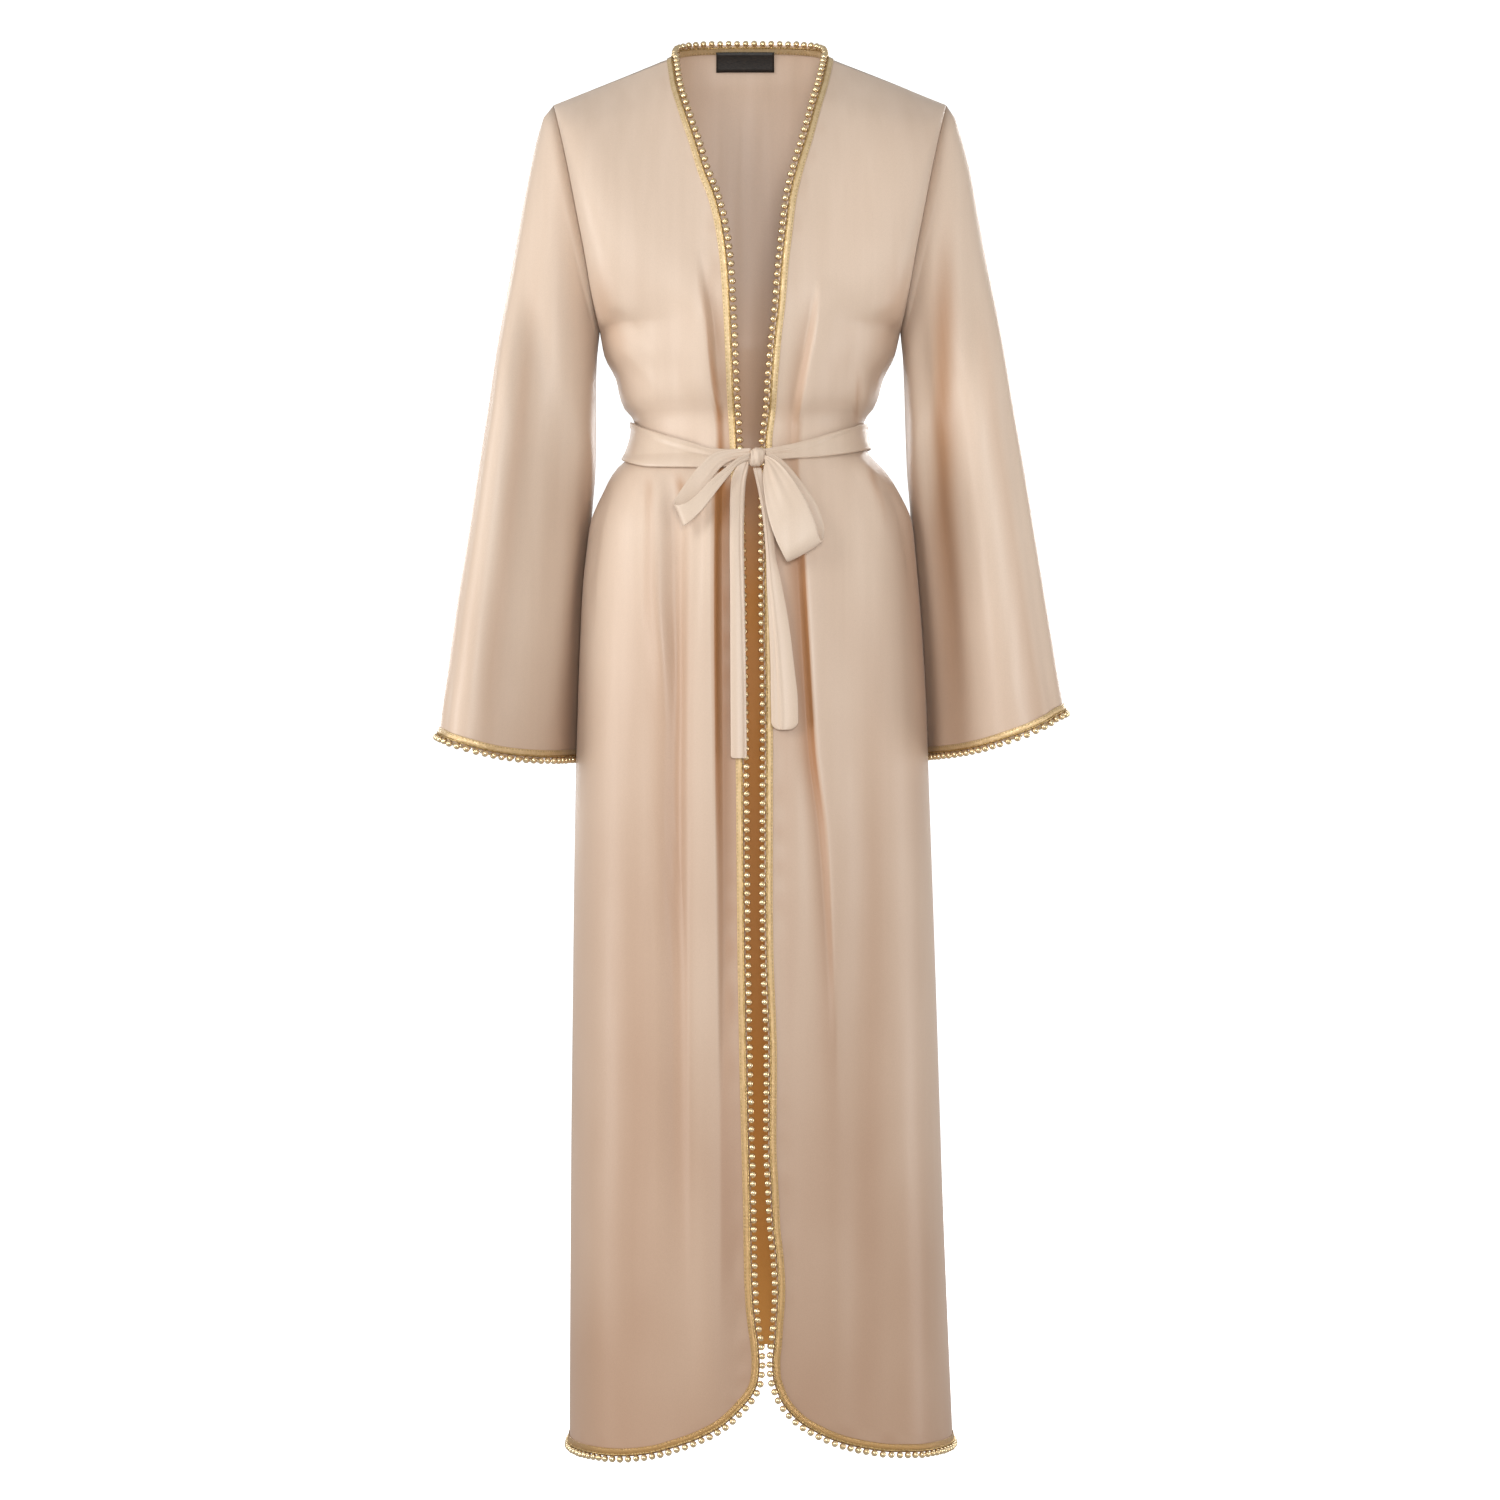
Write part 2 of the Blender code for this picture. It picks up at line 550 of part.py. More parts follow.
    # Side seam and shoulder seam: a little air, and walls that go straight in.
    fixed = {}
    armpit_row = len(yoke)
    for i in range(armpit_row, count):
        points[i * columns, 1] -= SEAM
        fixed[i * columns] = (side, 0, 0)
    points[start, 1] -= SEAM
    fixed[start] = (side, 0, 0)
    for j in range(columns):
        points[j, 1] -= SEAM
        fixed[j] = (0, 0, 1)
    if side > 0:
        quads, tape = flip(quads), flip(tape)
    normals = normals_of(points, quads)
    for i, normal in fixed.items():
        normals[i] = normal
    points = points + normals * front_folds(side, folds, points)[:, None]
    normals = normals_of(points, quads)
    for i, normal in fixed.items():
        normals[i] = normal
    return points, quads, tape, normals


def neck_curve(share):
    """The back's top line: shoulder seam, back neck, shoulder seam, for a share of 0 to 1."""
    tip, neck = ARMHOLE[-1], np.array([NECK_HALF, 0, 0])
    seam = np.array([tip[1], 0, tip[2]])
    out = []
    for s in np.atleast_1d(share):
        side = -1 if s < 0.5 else 1
        near = min(s, 1 - s)
        if near <= NECK_SHARE:
            p = seam + (neck - seam) * near / NECK_SHARE
            p = p * np.array([side, 1, 1])
        else:
            turn = (s - NECK_SHARE) / (1 - 2 * NECK_SHARE) * math.pi
            across = abs(math.cos(turn)) ** (2 / NECK_POWER)
            deep = math.sin(turn) ** (2 / NECK_POWER)
            p = np.array([side * NECK_HALF * across, NECK_DEPTH * deep, NECK_RISE * deep ** 0.8])
        out.append(p)
    return np.array(out)


def back_yoke(level, share):
    """A row of the back above the armpit, at shares of its columns."""
    share = np.asarray(share, float)
    bottom = back_point(share * math.pi, np.full(len(share), ARMPIT))
    top = neck_curve(share)
    hole = [smooth(ARMHOLE, k, level) for k in (1, 2, 3)]
    row = bottom + (top - bottom) * level
    turn = 1 - (1 - level ** 3) ** 0.6
    row[:, 1] = bottom[:, 1] + (top[:, 1] - bottom[:, 1]) * turn
    ends = back_ends(level)
    for end, near in ((0, share), (1, 1 - share)):
        side = -1 if end == 0 else 1
        outer = np.array([side * hole[0], hole[2], hole[1]])
        row += (outer - ends[end]) * (np.clip(1 - near / 0.42, 0, 1) ** 2)[:, None]
    return row


def back_ends(level):
    tip = ARMHOLE[-1]
    ends = []
    for side, width in ((-1, BODY[0, 1]), (1, BODY[0, 2])):
        low = np.array([side * width, 0, ARMPIT])
        high = np.array([side * tip[1], 0, tip[2]])
        ends.append(low + (high - low) * level)
    return ends


def back_panel():
    share = np.concatenate([
        np.linspace(0, NECK_SHARE, 8)[:-1],
        np.linspace(NECK_SHARE, 1 - NECK_SHARE, 9),
        np.linspace(1 - NECK_SHARE, 1, 8)[1:],
    ])
    angles = share * math.pi
    rows = [back_yoke(level, share) for level in ARMHOLE[:0:-1, 0]]
    yoke = len(rows)
    for i in range(2, yoke):  # the cloth doesn't crease where the neck meets the shoulders
        for _ in range(YOKE_SOFTENING):
            rows[i][1:-1] += (rows[i][:-2] + rows[i][2:] - 2 * rows[i][1:-1]) * 0.22
    for z in ROWS:
        rows.append(back_point(angles, np.full(len(angles), float(z))))
    hem = BACK_HEM_SIDE + BACK_HEM_RISE * np.sin(angles) ** 2
    for f in (0.36, 0.7):
        rows.append(back_point(angles, HEM_TOP + (hem + TAPE_WIDTH - HEM_TOP) * f))
    rows.append(back_point(angles, hem + TAPE_WIDTH))
    rows.append(back_point(angles, hem))
    columns, count = len(share), len(rows)
    points = np.concatenate(rows)
    quads = flip(grid_quads(count, columns))
    fixed = {}
    for i in range(yoke, count):
        for j, side in ((0, -1), (columns - 1, 1)):
            points[i * columns + j, 1] += SEAM
            fixed[i * columns + j] = (side, 0, 0)
    for j in range(columns):
        if min(share[j], 1 - share[j]) <= NECK_SHARE + 1e-6:
            points[j, 1] += SEAM
            fixed[j] = (0, 0, 1)
    normals = normals_of(points, quads)
    for i, normal in fixed.items():
        normals[i] = normal
    degrees = np.tile(np.degrees(angles), count)
    points = points + normals * round_folds(FOLDS_BACK, degrees, points[:, 2])[:, None]
    normals = normals_of(points, quads)
    for i, normal in fixed.items():
        normals[i] = normal
    neck = [j for j in range(columns) if min(share[j], 1 - share[j]) >= NECK_SHARE - 1e-6]
    neck_quads = [q for q in quads if min(q) < columns and min(q) in neck and min(q) + 1 in neck]
    hem_quads = [q for q in quads if min(q) >= (count - 2) * columns]
    return points, quads, neck_quads, hem_quads, normals, columns


def ring_point(inner, outer, half_depth, middle, angle, sag, turn):
    """A point of a sleeve's ring; the angle is 0 at the armpit side, 90 in front."""
    centre, arm = (inner + outer) / 2, (inner - outer) / 2
    point = centre + arm * math.cos(angle)
    front = -math.copysign(abs(math.sin(angle)) ** 0.92, math.sin(angle))
    depth = middle + turn * math.cos(angle) + front * half_depth
    return np.array([point[0], depth, point[1] - sag * math.sin(angle) ** 2])


def sleeve(side, table, folds):
    around = np.concatenate([ARMHOLE[:, 0], 2 - ARMHOLE[-2:0:-1, 0]])  # 0 to 2, armpit to armpit
    away = np.array([side * 0.978, 0, -0.209]) * 2 * SEAM
    rings, shares = [], [0.0]
    first = []
    for k, s in enumerate(around):
        level = s if s <= 1 else 2 - s
        x, z, depth = (smooth(ARMHOLE, c, level) for c in (1, 2, 3))
        first.append(np.array([side * x, -depth if s <= 1 else depth, z]) + away)
    rings.append(np.array(first))
    levels = list(table[:, 0])
    tape_level = 1 - TAPE_WIDTH / 440
    for level in levels[:-1] + [tape_level, 1.0]:
        ix, iz, ox, oz, half = (smooth(table, c, level) for c in range(1, 6))
        if level == tape_level:
            ix, iz, ox, oz, half = (table[-1, c] for c in range(1, 6))
            iz, oz, ox = iz + TAPE_WIDTH, oz + TAPE_WIDTH, ox - 0.2 * TAPE_WIDTH
        inner, outer = np.array([side * ix, iz]), np.array([side * ox, oz])
        settle = min(1.0, level / 0.2)
        ring = []
        for s in around:
            angle = s * math.pi
            ring.append(ring_point(inner, outer, half, SLEEVE_BACKSET * level, angle,
                                   CUFF_SAG * level ** 2 * settle,
                                   SLEEVE_TURN * ease((level - 0.28) / 0.24)))
        rings.append(np.array(ring))
        shares.append(level)
    columns, count = len(around), len(rings)
    points = np.concatenate(rings)
    quads = grid_quads(count, columns, closed=True)
    if side < 0:
        quads = flip(quads)
    normals = normals_of(points, quads)
    degrees = np.tile(around * 180, count)
    at = np.repeat(np.array(shares), columns)
    points = points + normals * round_folds(folds, degrees, at)[:, None]
    normals = normals_of(points, quads)
    # At the armhole the wall's rim lies in the armhole's own plane, clear of the body.
    axis = away / np.linalg.norm(away)
    rim = normals[:columns] - np.outer(normals[:columns] @ axis, axis)
    normals[:columns] = rim / np.linalg.norm(rim, axis=1)[:, None]
    cuff = [q for q in quads if min(q) >= (count - 2) * columns]
    return points, quads, cuff, normals


def belt_band():
    """The belt round the waist, from one side of the knot to the other."""
    turns = np.concatenate([np.linspace(-2, 90, 14)[:-1], np.linspace(90, 270, 21),
                            np.linspace(270, 357, 13)[1:]])
    across = (0.0, 0.33, 0.67, 1.0)
    points = []
    for turn in turns:
        top, bottom = smooth(BELT, 1, turn), smooth(BELT, 2, turn)
        for f in across:
            z = top + (bottom - top) * f
            low, high = (body_at(turn, z + step) for step in (-1.0, 1.0))
            point = body_at(turn, z)
            beside = body_at(turn + 0.5, z) - body_at(turn - 0.5, z)
            normal = np.cross(high - low, beside)
            normal /= np.linalg.norm(normal)
            if normal[0] * point[0] + normal[1] * point[1] < 0:
                normal = -normal
            crown = BELT_CROWN * (1 - (2 * f - 1) ** 2)
            points.append((point, normal, BELT_LIFT + crown))
    inner = np.array([p + n * lift for p, n, lift in points])
    outer = np.array([p + n * (lift + BELT_WALL) for p, n, lift in points])
    quads = grid_quads(len(turns), len(across))
    return outer, inner, quads


def body_at(turn, z):
    """A point of the body's plain section; the turn is as in the belt's table."""
    if turn <= 90:
        return front_point(-1, math.radians(90 - turn), z)
    if turn >= 270:
        return front_point(1, math.radians(turn - 270), z)
    return back_point(math.radians(turn - 90), z)


def loop(table, steps, across):
    """Outer and inner points of a strip of cloth between the two edges in a table."""
    middle = (table[:, :3] + table[:, 3:]) / 2
    run = np.concatenate([[0], np.cumsum(np.linalg.norm(np.diff(middle, axis=0), axis=1))])
    keyed = np.column_stack([run, table])
    at = np.linspace(0, run[-1], steps)
    upper = np.stack([smooth(keyed, k, at) for k in (1, 2, 3)], -1)
    lower = np.stack([smooth(keyed, k, at) for k in (4, 5, 6)], -1)
    share = np.linspace(0, 1, across)[None, :, None]
    points = (upper[:, None] + (lower - upper)[:, None] * share).reshape(-1, 3)
    quads = grid_quads(steps, across)
    normals = normals_of(points, quads) * BELT_WALL / 2
    return points + normals, points - normals, quads


def tail(table, steps, across):
    """A hanging end of the belt: it follows the front under it, a little way off."""
    heights = np.linspace(table[0, 1], table[-1, 1], steps)
    rows = table[:, [1, 0, 2]]
    outer, inner = [], []
    for z in heights:
        middle, width = smooth(rows, 1, z), smooth(rows, 2, z)
        for f in np.linspace(-0.5, 0.5, across):
            x = middle + width * f
            crown = 1.5 * (1 - (2 * f) ** 2)
            start = np.interp(z, (-450, table[0, 1]), (0, 1))
            depth = -smooth(BODY, 3, z) - TAIL_LIFT - crown
            depth += (KNOT_AT[1] + 1.5 - depth) * start
            inner.append((x, depth, z))
            outer.append((x, depth - TAIL_WALL, z))
    return np.array(outer), np.array(inner), grid_quads(steps, across)


def add_knot(material):
    ball = bmesh.new()
    bmesh.ops.create_uvsphere(ball, u_segments=14, v_segments=9, radius=1.0)
    for vertex in ball.verts:
        x, y, z = vertex.co
        waist = 1 - 0.12 * (1 - z * z)
        vertex.co = (
            (KNOT_AT[0] + x * KNOT_RADII[0] * waist + 1.2 * z) * MM,
            (KNOT_AT[1] + y * KNOT_RADII[1]) * MM,
            (KNOT_AT[2] + z * KNOT_RADII[2]) * MM,
        )
    mesh = bpy.data.meshes.new("belt_knot")
    bmesh.ops.triangulate(ball, faces=ball.faces)
    ball.to_mesh(mesh)
    ball.free()
    mesh.materials.append(material)
    PARTS.objects.link(bpy.data.objects.new("belt_knot", mesh))


for thing in list(bpy.data.objects):
    bpy.data.objects.remove(thing)

PARTS = bpy.data.collections.new("cardigan_dress")
bpy.context.scene.collection.children.link(PARTS)

satin = (0.68, 0.52, 0.37)
gold = (0.78, 0.58, 0.26)
FABRIC = {
    name: add_material(name, colour, roughness)
    for name, colour, roughness in (
        ("front_left_cloth", satin, 0.5),
        ("front_right_cloth", satin, 0.5),
        ("back_cloth", satin, 0.5),
        ("sleeve_left_cloth", satin, 0.5),
        ("sleeve_right_cloth", satin, 0.5),
        ("belt_cloth", satin, 0.5),
        ("gold_tape", gold, 0.4),
        ("label_cloth", (0.02, 0.016, 0.014), 0.7),
    )
}

FRONTS = (
    ("left", -1, LINES_LEFT, (5, 3, 1, 1), EDGE_LEFT, HEM_LEFT, FOLDS_LEFT),
    ("right", 1, LINES_RIGHT, (3, 3, 1, 2), EDGE_RIGHT, HEM_RIGHT, FOLDS_RIGHT),
)
for name, side, lines, shares, edge, hem, folds in FRONTS:
    points, quads, tape, normals = front_panel(side, lines, shares, edge, hem, folds)
    add_wall(f"front_{name}", points, points - normals * WALL, quads, FABRIC[f"front_{name}_cloth"])
    add_wall(f"tape_front_{name}", points + normals * (LIFT + TAPE_WALL), points + normals * LIFT, tape,
             FABRIC["gold_tape"])

points, quads, neck, hem, normals, BACK_COLUMNS = back_panel()
BACK_POINTS = points
add_wall("back", points, points - normals * WALL, quads, FABRIC["back_cloth"])
add_wall("tape_neck_outside", points + normals * (LIFT + TAPE_WALL), points + normals * LIFT, neck,
         FABRIC["gold_tape"])
add_wall("tape_neck_inside", points - normals * (WALL + LIFT),
         points - normals * (WALL + LIFT + TAPE_WALL), neck, FABRIC["gold_tape"])
add_wall("tape_back_hem", points + normals * (LIFT + TAPE_WALL), points + normals * LIFT, hem,
         FABRIC["gold_tape"])

SLEEVES = (("left", -1, SLEEVE_LEFT, FOLDS_SLEEVE_LEFT), ("right", 1, SLEEVE_RIGHT, FOLDS_SLEEVE_RIGHT))
for name, side, table, folds in SLEEVES:
    points, quads, cuff, normals = sleeve(side, table, folds)
    add_wall(f"sleeve_{name}", points, points - normals * WALL, quads, FABRIC[f"sleeve_{name}_cloth"])
    add_wall(f"tape_cuff_{name}", points + normals * (LIFT + TAPE_WALL), points + normals * LIFT, cuff,
             FABRIC["gold_tape"])

outer, inner, quads = belt_band()
add_wall("belt_band", outer, inner, quads, FABRIC["belt_cloth"])
add_knot(FABRIC["belt_cloth"])
for name, table in (("loop_left", LOOP_LEFT), ("loop_right", LOOP_RIGHT)):
    outer, inner, quads = loop(table, 34, 4)
    add_wall(f"belt_{name}", outer, inner, quads, FABRIC["belt_cloth"])
outer, inner, quads = tail(TAIL_LEFT, 14, 4)
add_wall("belt_tail_left", outer, inner, quads, FABRIC["belt_cloth"])
outer, inner, quads = tail(TAIL_RIGHT, 16, 5)
add_wall("belt_tail_right", outer, inner, quads, FABRIC["belt_cloth"])

# The label lies flat on the inside of the back neck, over the tape, on the back's own facets.
rows = []
for row in LABEL_ROWS:
    near = []
    for i in (int(row), int(row) + 1):
        here = BACK_POINTS[i * BACK_COLUMNS:(i + 1) * BACK_COLUMNS]
        near.append(np.stack([LABEL_X] + [np.interp(LABEL_X, here[:, 0], here[:, k]) for k in (1, 2)], -1))
    rows.append(near[0] + (near[1] - near[0]) * (row - int(row)))
rows = np.concatenate(rows)
quads = flip(grid_quads(len(LABEL_ROWS), len(LABEL_X)))
normals = normals_of(rows, quads)
base = WALL + LIFT + TAPE_WALL + LABEL_LIFT
add_wall("neck_label", rows - normals * (base + LABEL_WALL), rows - normals * base, quads,
         FABRIC["label_cloth"])
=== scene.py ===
"""Looks of an open-front long cardigan dress with a tied belt, filled out as worn.

Sizes in the tables are millimetres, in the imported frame: X runs to the viewer's right, the fronts
face -Y, Z is up and the origin is between the shoulders. Left and right are the viewer's.
"""

import math

import bmesh
import bpy
import numpy as np
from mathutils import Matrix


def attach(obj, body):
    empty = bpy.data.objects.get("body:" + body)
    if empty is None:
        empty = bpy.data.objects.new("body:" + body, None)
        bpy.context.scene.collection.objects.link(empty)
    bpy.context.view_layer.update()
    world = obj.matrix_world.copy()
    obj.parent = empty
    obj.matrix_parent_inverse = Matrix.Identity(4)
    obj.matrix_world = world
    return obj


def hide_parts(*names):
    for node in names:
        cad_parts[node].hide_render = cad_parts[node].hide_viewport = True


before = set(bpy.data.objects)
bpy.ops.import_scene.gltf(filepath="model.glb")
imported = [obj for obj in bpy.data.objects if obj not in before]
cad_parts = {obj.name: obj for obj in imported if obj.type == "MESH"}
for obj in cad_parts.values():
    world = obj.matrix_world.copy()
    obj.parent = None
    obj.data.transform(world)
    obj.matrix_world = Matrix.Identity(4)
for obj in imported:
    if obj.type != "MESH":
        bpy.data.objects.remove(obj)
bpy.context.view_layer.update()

MM = 0.001
WHITE = (1.0, 1.0, 1.0, 1.0)
WALL = 1.0
SEAM = 0.07  # half of the air between a front and the back
ARMHOLE_SEAM = 0.3  # how far a sleeve stays off its armhole
TAPE_WIDTH = 7.5
TAPE_FROM, TAPE_TO = 0.16, 1.06  # where the band lies between the edge and the tape's line
TAPE_WALL = 0.6
TAPE_CROWN = 0.6
NECK_TAPE = 0.58  # the neck tape's width as a share of a step of the yoke's rows
LIFT = 0.35  # air between a trim and the cloth under it
BELT_WALL = 1.6
BELT_LIFT = 3.2
SQUARE = 0.85  # power of the body's rings: 1 is an ellipse, less is squarer
ARMPIT = -277.0
HEM_TOP = -1230.0  # where the rounded corners begin
BACK_HEM_SIDE = -1382.0
BACK_HEM_RISE = 71.0
NECK_HALF = 76.0
NECK_DEPTH = 62.0
NECK_RISE = 24.0
NECK_SHARE = 0.32  # share of the back's top line that one shoulder takes
NECK_POWER = 3.2
BACK_ROUND = 480  # half round of the back, for its fine waves
SLEEVE_ROUND = 290  # half round of a sleeve, for its fine waves
SLEEVE_LENGTH = 440  # mean length of a sleeve

BEAD = 3.3  # radius
BEAD_PITCH = 8.7
CUFF_PITCH = 9.3
BRAID = 0.8  # radius of the looped braid beside the beads
BRAID_STEP = 1.15

# Rows and columns of the meshes
BODY_ROWS = 128
CORNER_ROWS = 26
HEM_ROWS = 20
YOKE_PARTS = 4  # rows in each step of the armhole's levels
YOKE_ROUNDS = 36  # rounds of smoothing in the back's yoke
NECK_COLUMNS = 33
SHOULDER_COLUMNS = 26
SLEEVE_RINGS = 62
BAND_ACROSS = 17
LOOP_GRID = (130, 23)
TAIL_GRID = (90, 19)
KNOT_GRID = (40, 56)

# height, left half width, right half width, depth in front, depth behind
BODY = np.array([
    (-277, 150, 150, 122, 100),
    (-300, 145.5, 144.5, 119, 98),
    (-323, 134, 133, 113, 95),
    (-343, 129.5, 127.5, 106, 92),
    (-354, 124.5, 122, 101, 89),
    (-363, 116, 114, 95, 86),
    (-377, 113.8, 112.3, 93, 84),
    (-395, 118.5, 117, 94, 86),
    (-405, 124.5, 124.5, 96, 89),
    (-414, 134.5, 134, 102, 95),
    (-435, 146, 148, 109, 103),
    (-467, 158.5, 162, 115, 112),
    (-489, 162, 164.5, 118, 117),
    (-527, 166.5, 168, 122, 122),
    (-578, 169.5, 172, 125, 126),
    (-655, 172.2, 176.2, 128, 128),
    (-700, 173.5, 177.5, 130, 130),
    (-943, 177, 186, 138, 138),
    (-1143, 179, 192.5, 144, 144),
    (-1373, 180, 202, 150, 150),
], float)

# share of the way up from the armpit, distance from the middle, height, depth
ARMHOLE = np.array([
    (0.00, 150, -277, 0),
    (0.08, 151, -271, 22),
    (0.15, 153.5, -259, 36),
    (0.24, 157.5, -238, 48),
    (0.36, 163, -204, 55),
    (0.50, 171, -163, 56),
    (0.64, 179.5, -120, 51),
    (0.78, 187.5, -84, 39),
    (0.88, 192.5, -64, 25),
    (0.96, 195.5, -51, 9),
    (1.00, 196, -48, 0),
], float)

# height, x of the open edge
EDGE_LEFT = np.array([
    (0, -76), (-17, -73.6), (-33, -71.3), (-53, -66), (-73, -59.9), (-101, -50.8),
    (-131, -41.9), (-148, -34.8), (-171, -28.2), (-196, -23.6), (-222, -20.5), (-276, -17.4),
    (-344, -14.6), (-396, -11.7), (-550, -8), (-705, -5.8), (-873, -4.3), (-959, -2.9),
    (-1048, -1), (-1129, 1.2), (-1200, 2.4), (-1230, 4),
], float)
EDGE_RIGHT = np.array([
    (0, 76), (-31, 69.6), (-63, 60.9), (-91, 53.8), (-121, 44.9), (-157, 36.4),
    (-187, 33), (-222, 29), (-261, 26.1), (-293, 22.4), (-327, 19.4), (-360, 17.2),
    (-394, 13.6), (-532, 12.6), (-672, 14.2), (-838, 13.9), (-883, 14.4), (-992, 17.8),
    (-1072, 17.3), (-1113, 19.2), (-1153, 21.1), (-1180, 24.2), (-1212, 25.9), (-1230, 25),
], float)
# height, depth of the open edge above the armpit
EDGE_DEPTH = np.array([
    (0, 0), (-14, 18), (-28, 33), (-55, 57), (-90, 76), (-138, 95), (-200, 112), (-250, 120.5),
    (-277, 121.4),
], float)

# x, height: the open edge's lower end, round the corner and along the hem to the side
HEM_LEFT = np.array([
    (4, -1230), (6.2, -1248), (8.6, -1265), (9.6, -1282), (7.7, -1300), (3, -1311),
    (-5.8, -1322), (-15.3, -1332), (-26.8, -1342), (-41.2, -1350.5), (-55.6, -1357.5),
    (-72.8, -1364), (-89.6, -1370), (-106, -1374), (-120.6, -1376.5), (-151, -1379),
    (-169, -1381), (-180, -1382),
], float)
HEM_RIGHT = np.array([
    (25, -1230), (24, -1244), (22.6, -1264), (21, -1279), (21.4, -1293), (24.9, -1306),
    (30.5, -1319), (39.3, -1330.5), (50.8, -1341), (64.2, -1349), (76.7, -1355.5),
    (93, -1362), (110, -1367), (132.5, -1372), (149.4, -1374), (164.6, -1376),
    (180, -1377.5), (194, -1379.5), (202, -1381),
], float)
CORNER_CUT = 0.41  # share of the hem line's length, from its top, that lies along the rows

# height, then the x of each line of vertices that a fold needs
LINES_LEFT = np.array([
    (-277, -84, -43, -35.5),
    (-333, -84, -36.7, -29.5),
    (-390, -88, -29.5, -23),
    (-422, -91, -32.9, -26),
    (-530, -91, -34, -27),
    (-703, -80, -33, -25),
    (-935, -62, -33, -23),
    (-1230, -62, -34, -21),
], float)
LINES_RIGHT = np.array([
    (-277, 110, 65, 57.5),
    (-318, 110, 56.1, 49),
    (-348, 109, 50.3, 43),
    (-390, 108, 46.4, 39.5),
    (-430, 112, 50, 42.5),
    (-509, 118, 53.2, 45),
    (-598, 122, 58, 49),
    (-694, 125, 64, 54),
    (-772, 128, 73.5, 62),
    (-839, 130, 77.4, 66),
    (-935, 132, 82, 69),
    (-1230, 135, 84, 68),
], float)

# Folds of the fronts: width on the side seam's side, width on the edge's side, and
# the line of the fold as x, height, how far it stands out.
FOLDS_LEFT = (
    (42, 7, ((-56, -205, 0), (-49, -240, 2.5), (-42.5, -273, 6.5), (-36.7, -333, 9), (-31, -372, 2),
             (-31, -418, 1.6), (-33, -442, 6.5), (-34, -509, 9.5), (-33, -703, 8), (-32, -935, 3),
             (-32, -1050, 0))),
    (16, 16, ((-91, -417, 0), (-91, -445, 5), (-91, -530, 5), (-80, -640, 2), (-70, -760, 0))),
    (17, 13, ((-70, -430, 0), (-70, -500, -5), (-71, -700, -6), (-70, -1000, -5), (-68, -1240, 0))),
    (36, 36, ((-135, -560, 0), (-138, -800, 4), (-138, -1200, 5), (-138, -1390, 4))),
    (30, 30, ((-40, -1000, 0), (-38, -1200, 4), (-36, -1300, 3), (-34, -1360, 0))),
)
FOLDS_RIGHT = (
    (42, 7.5, ((70, -235, 0), (66, -265, 5), (61.9, -289, 8), (56.1, -318, 9), (50.3, -348, 8),
               (47, -374, 2), (46.4, -415, 1.6), (50, -440, 6.5), (53.2, -509, 9.5), (58, -598, 9.5),
               (64, -694, 9), (73.5, -772, 7.5), (81, -894, 4), (84, -1000, 0))),
    (14, 10, ((112, -315, 0), (110, -345, 3.5), (107, -362, 1), (107, -370, 0))),
    (16, 14, ((109, -406, 0), (113, -425, 3.5), (124, -445, 3.5), (130, -490, 0))),
    (36, 36, ((150, -600, 0), (152, -850, 4), (158, -1200, 6), (160, -1390, 5))),
    (34, 34, ((100, -800, 0), (106, -1000, -5), (108, -1250, -5), (108, -1390, -3))),
)
# Folds of the back: half width, and the line as angle round from the left side seam,
# height, how far it stands out. The belt gathers them at the waist.
FOLDS_BACK = (
    (9, ((46, -215, 0), (52, -300, 5), (57, -345, 5), (58, -360, 1.5), (58, -399, 1.5),
         (57, -425, 6), (52, -560, 7), (46, -900, 5), (44, -1360, 6))),
    (8, ((76, -240, 0), (80, -310, 5), (83, -345, 4), (83, -360, 1.5), (83, -399, 1.5),
         (82, -425, 6), (78, -620, 7), (72, -1000, 6), (70, -1340, 6))),
    (8, ((104, -225, 0), (101, -310, 5), (99, -345, 5), (98, -360, 1.5), (98, -399, 1.5),
         (99, -425, 6), (103, -600, 7), (106, -1000, 6), (108, -1340, 7))),
    (9, ((136, -215, 0), (130, -300, 5), (125, -345, 4), (124, -360, 1.5), (124, -399, 1.5),
         (126, -425, 6), (132, -620, 7), (136, -900, 5), (138, -1360, 6))),
    (7, ((18, -720, 0), (17, -820, 4), (16, -1000, 4), (16, -1370, 4))),
    (7, ((163, -720, 0), (163, -820, 4), (163, -1000, 5), (164, -1370, 4))),
)

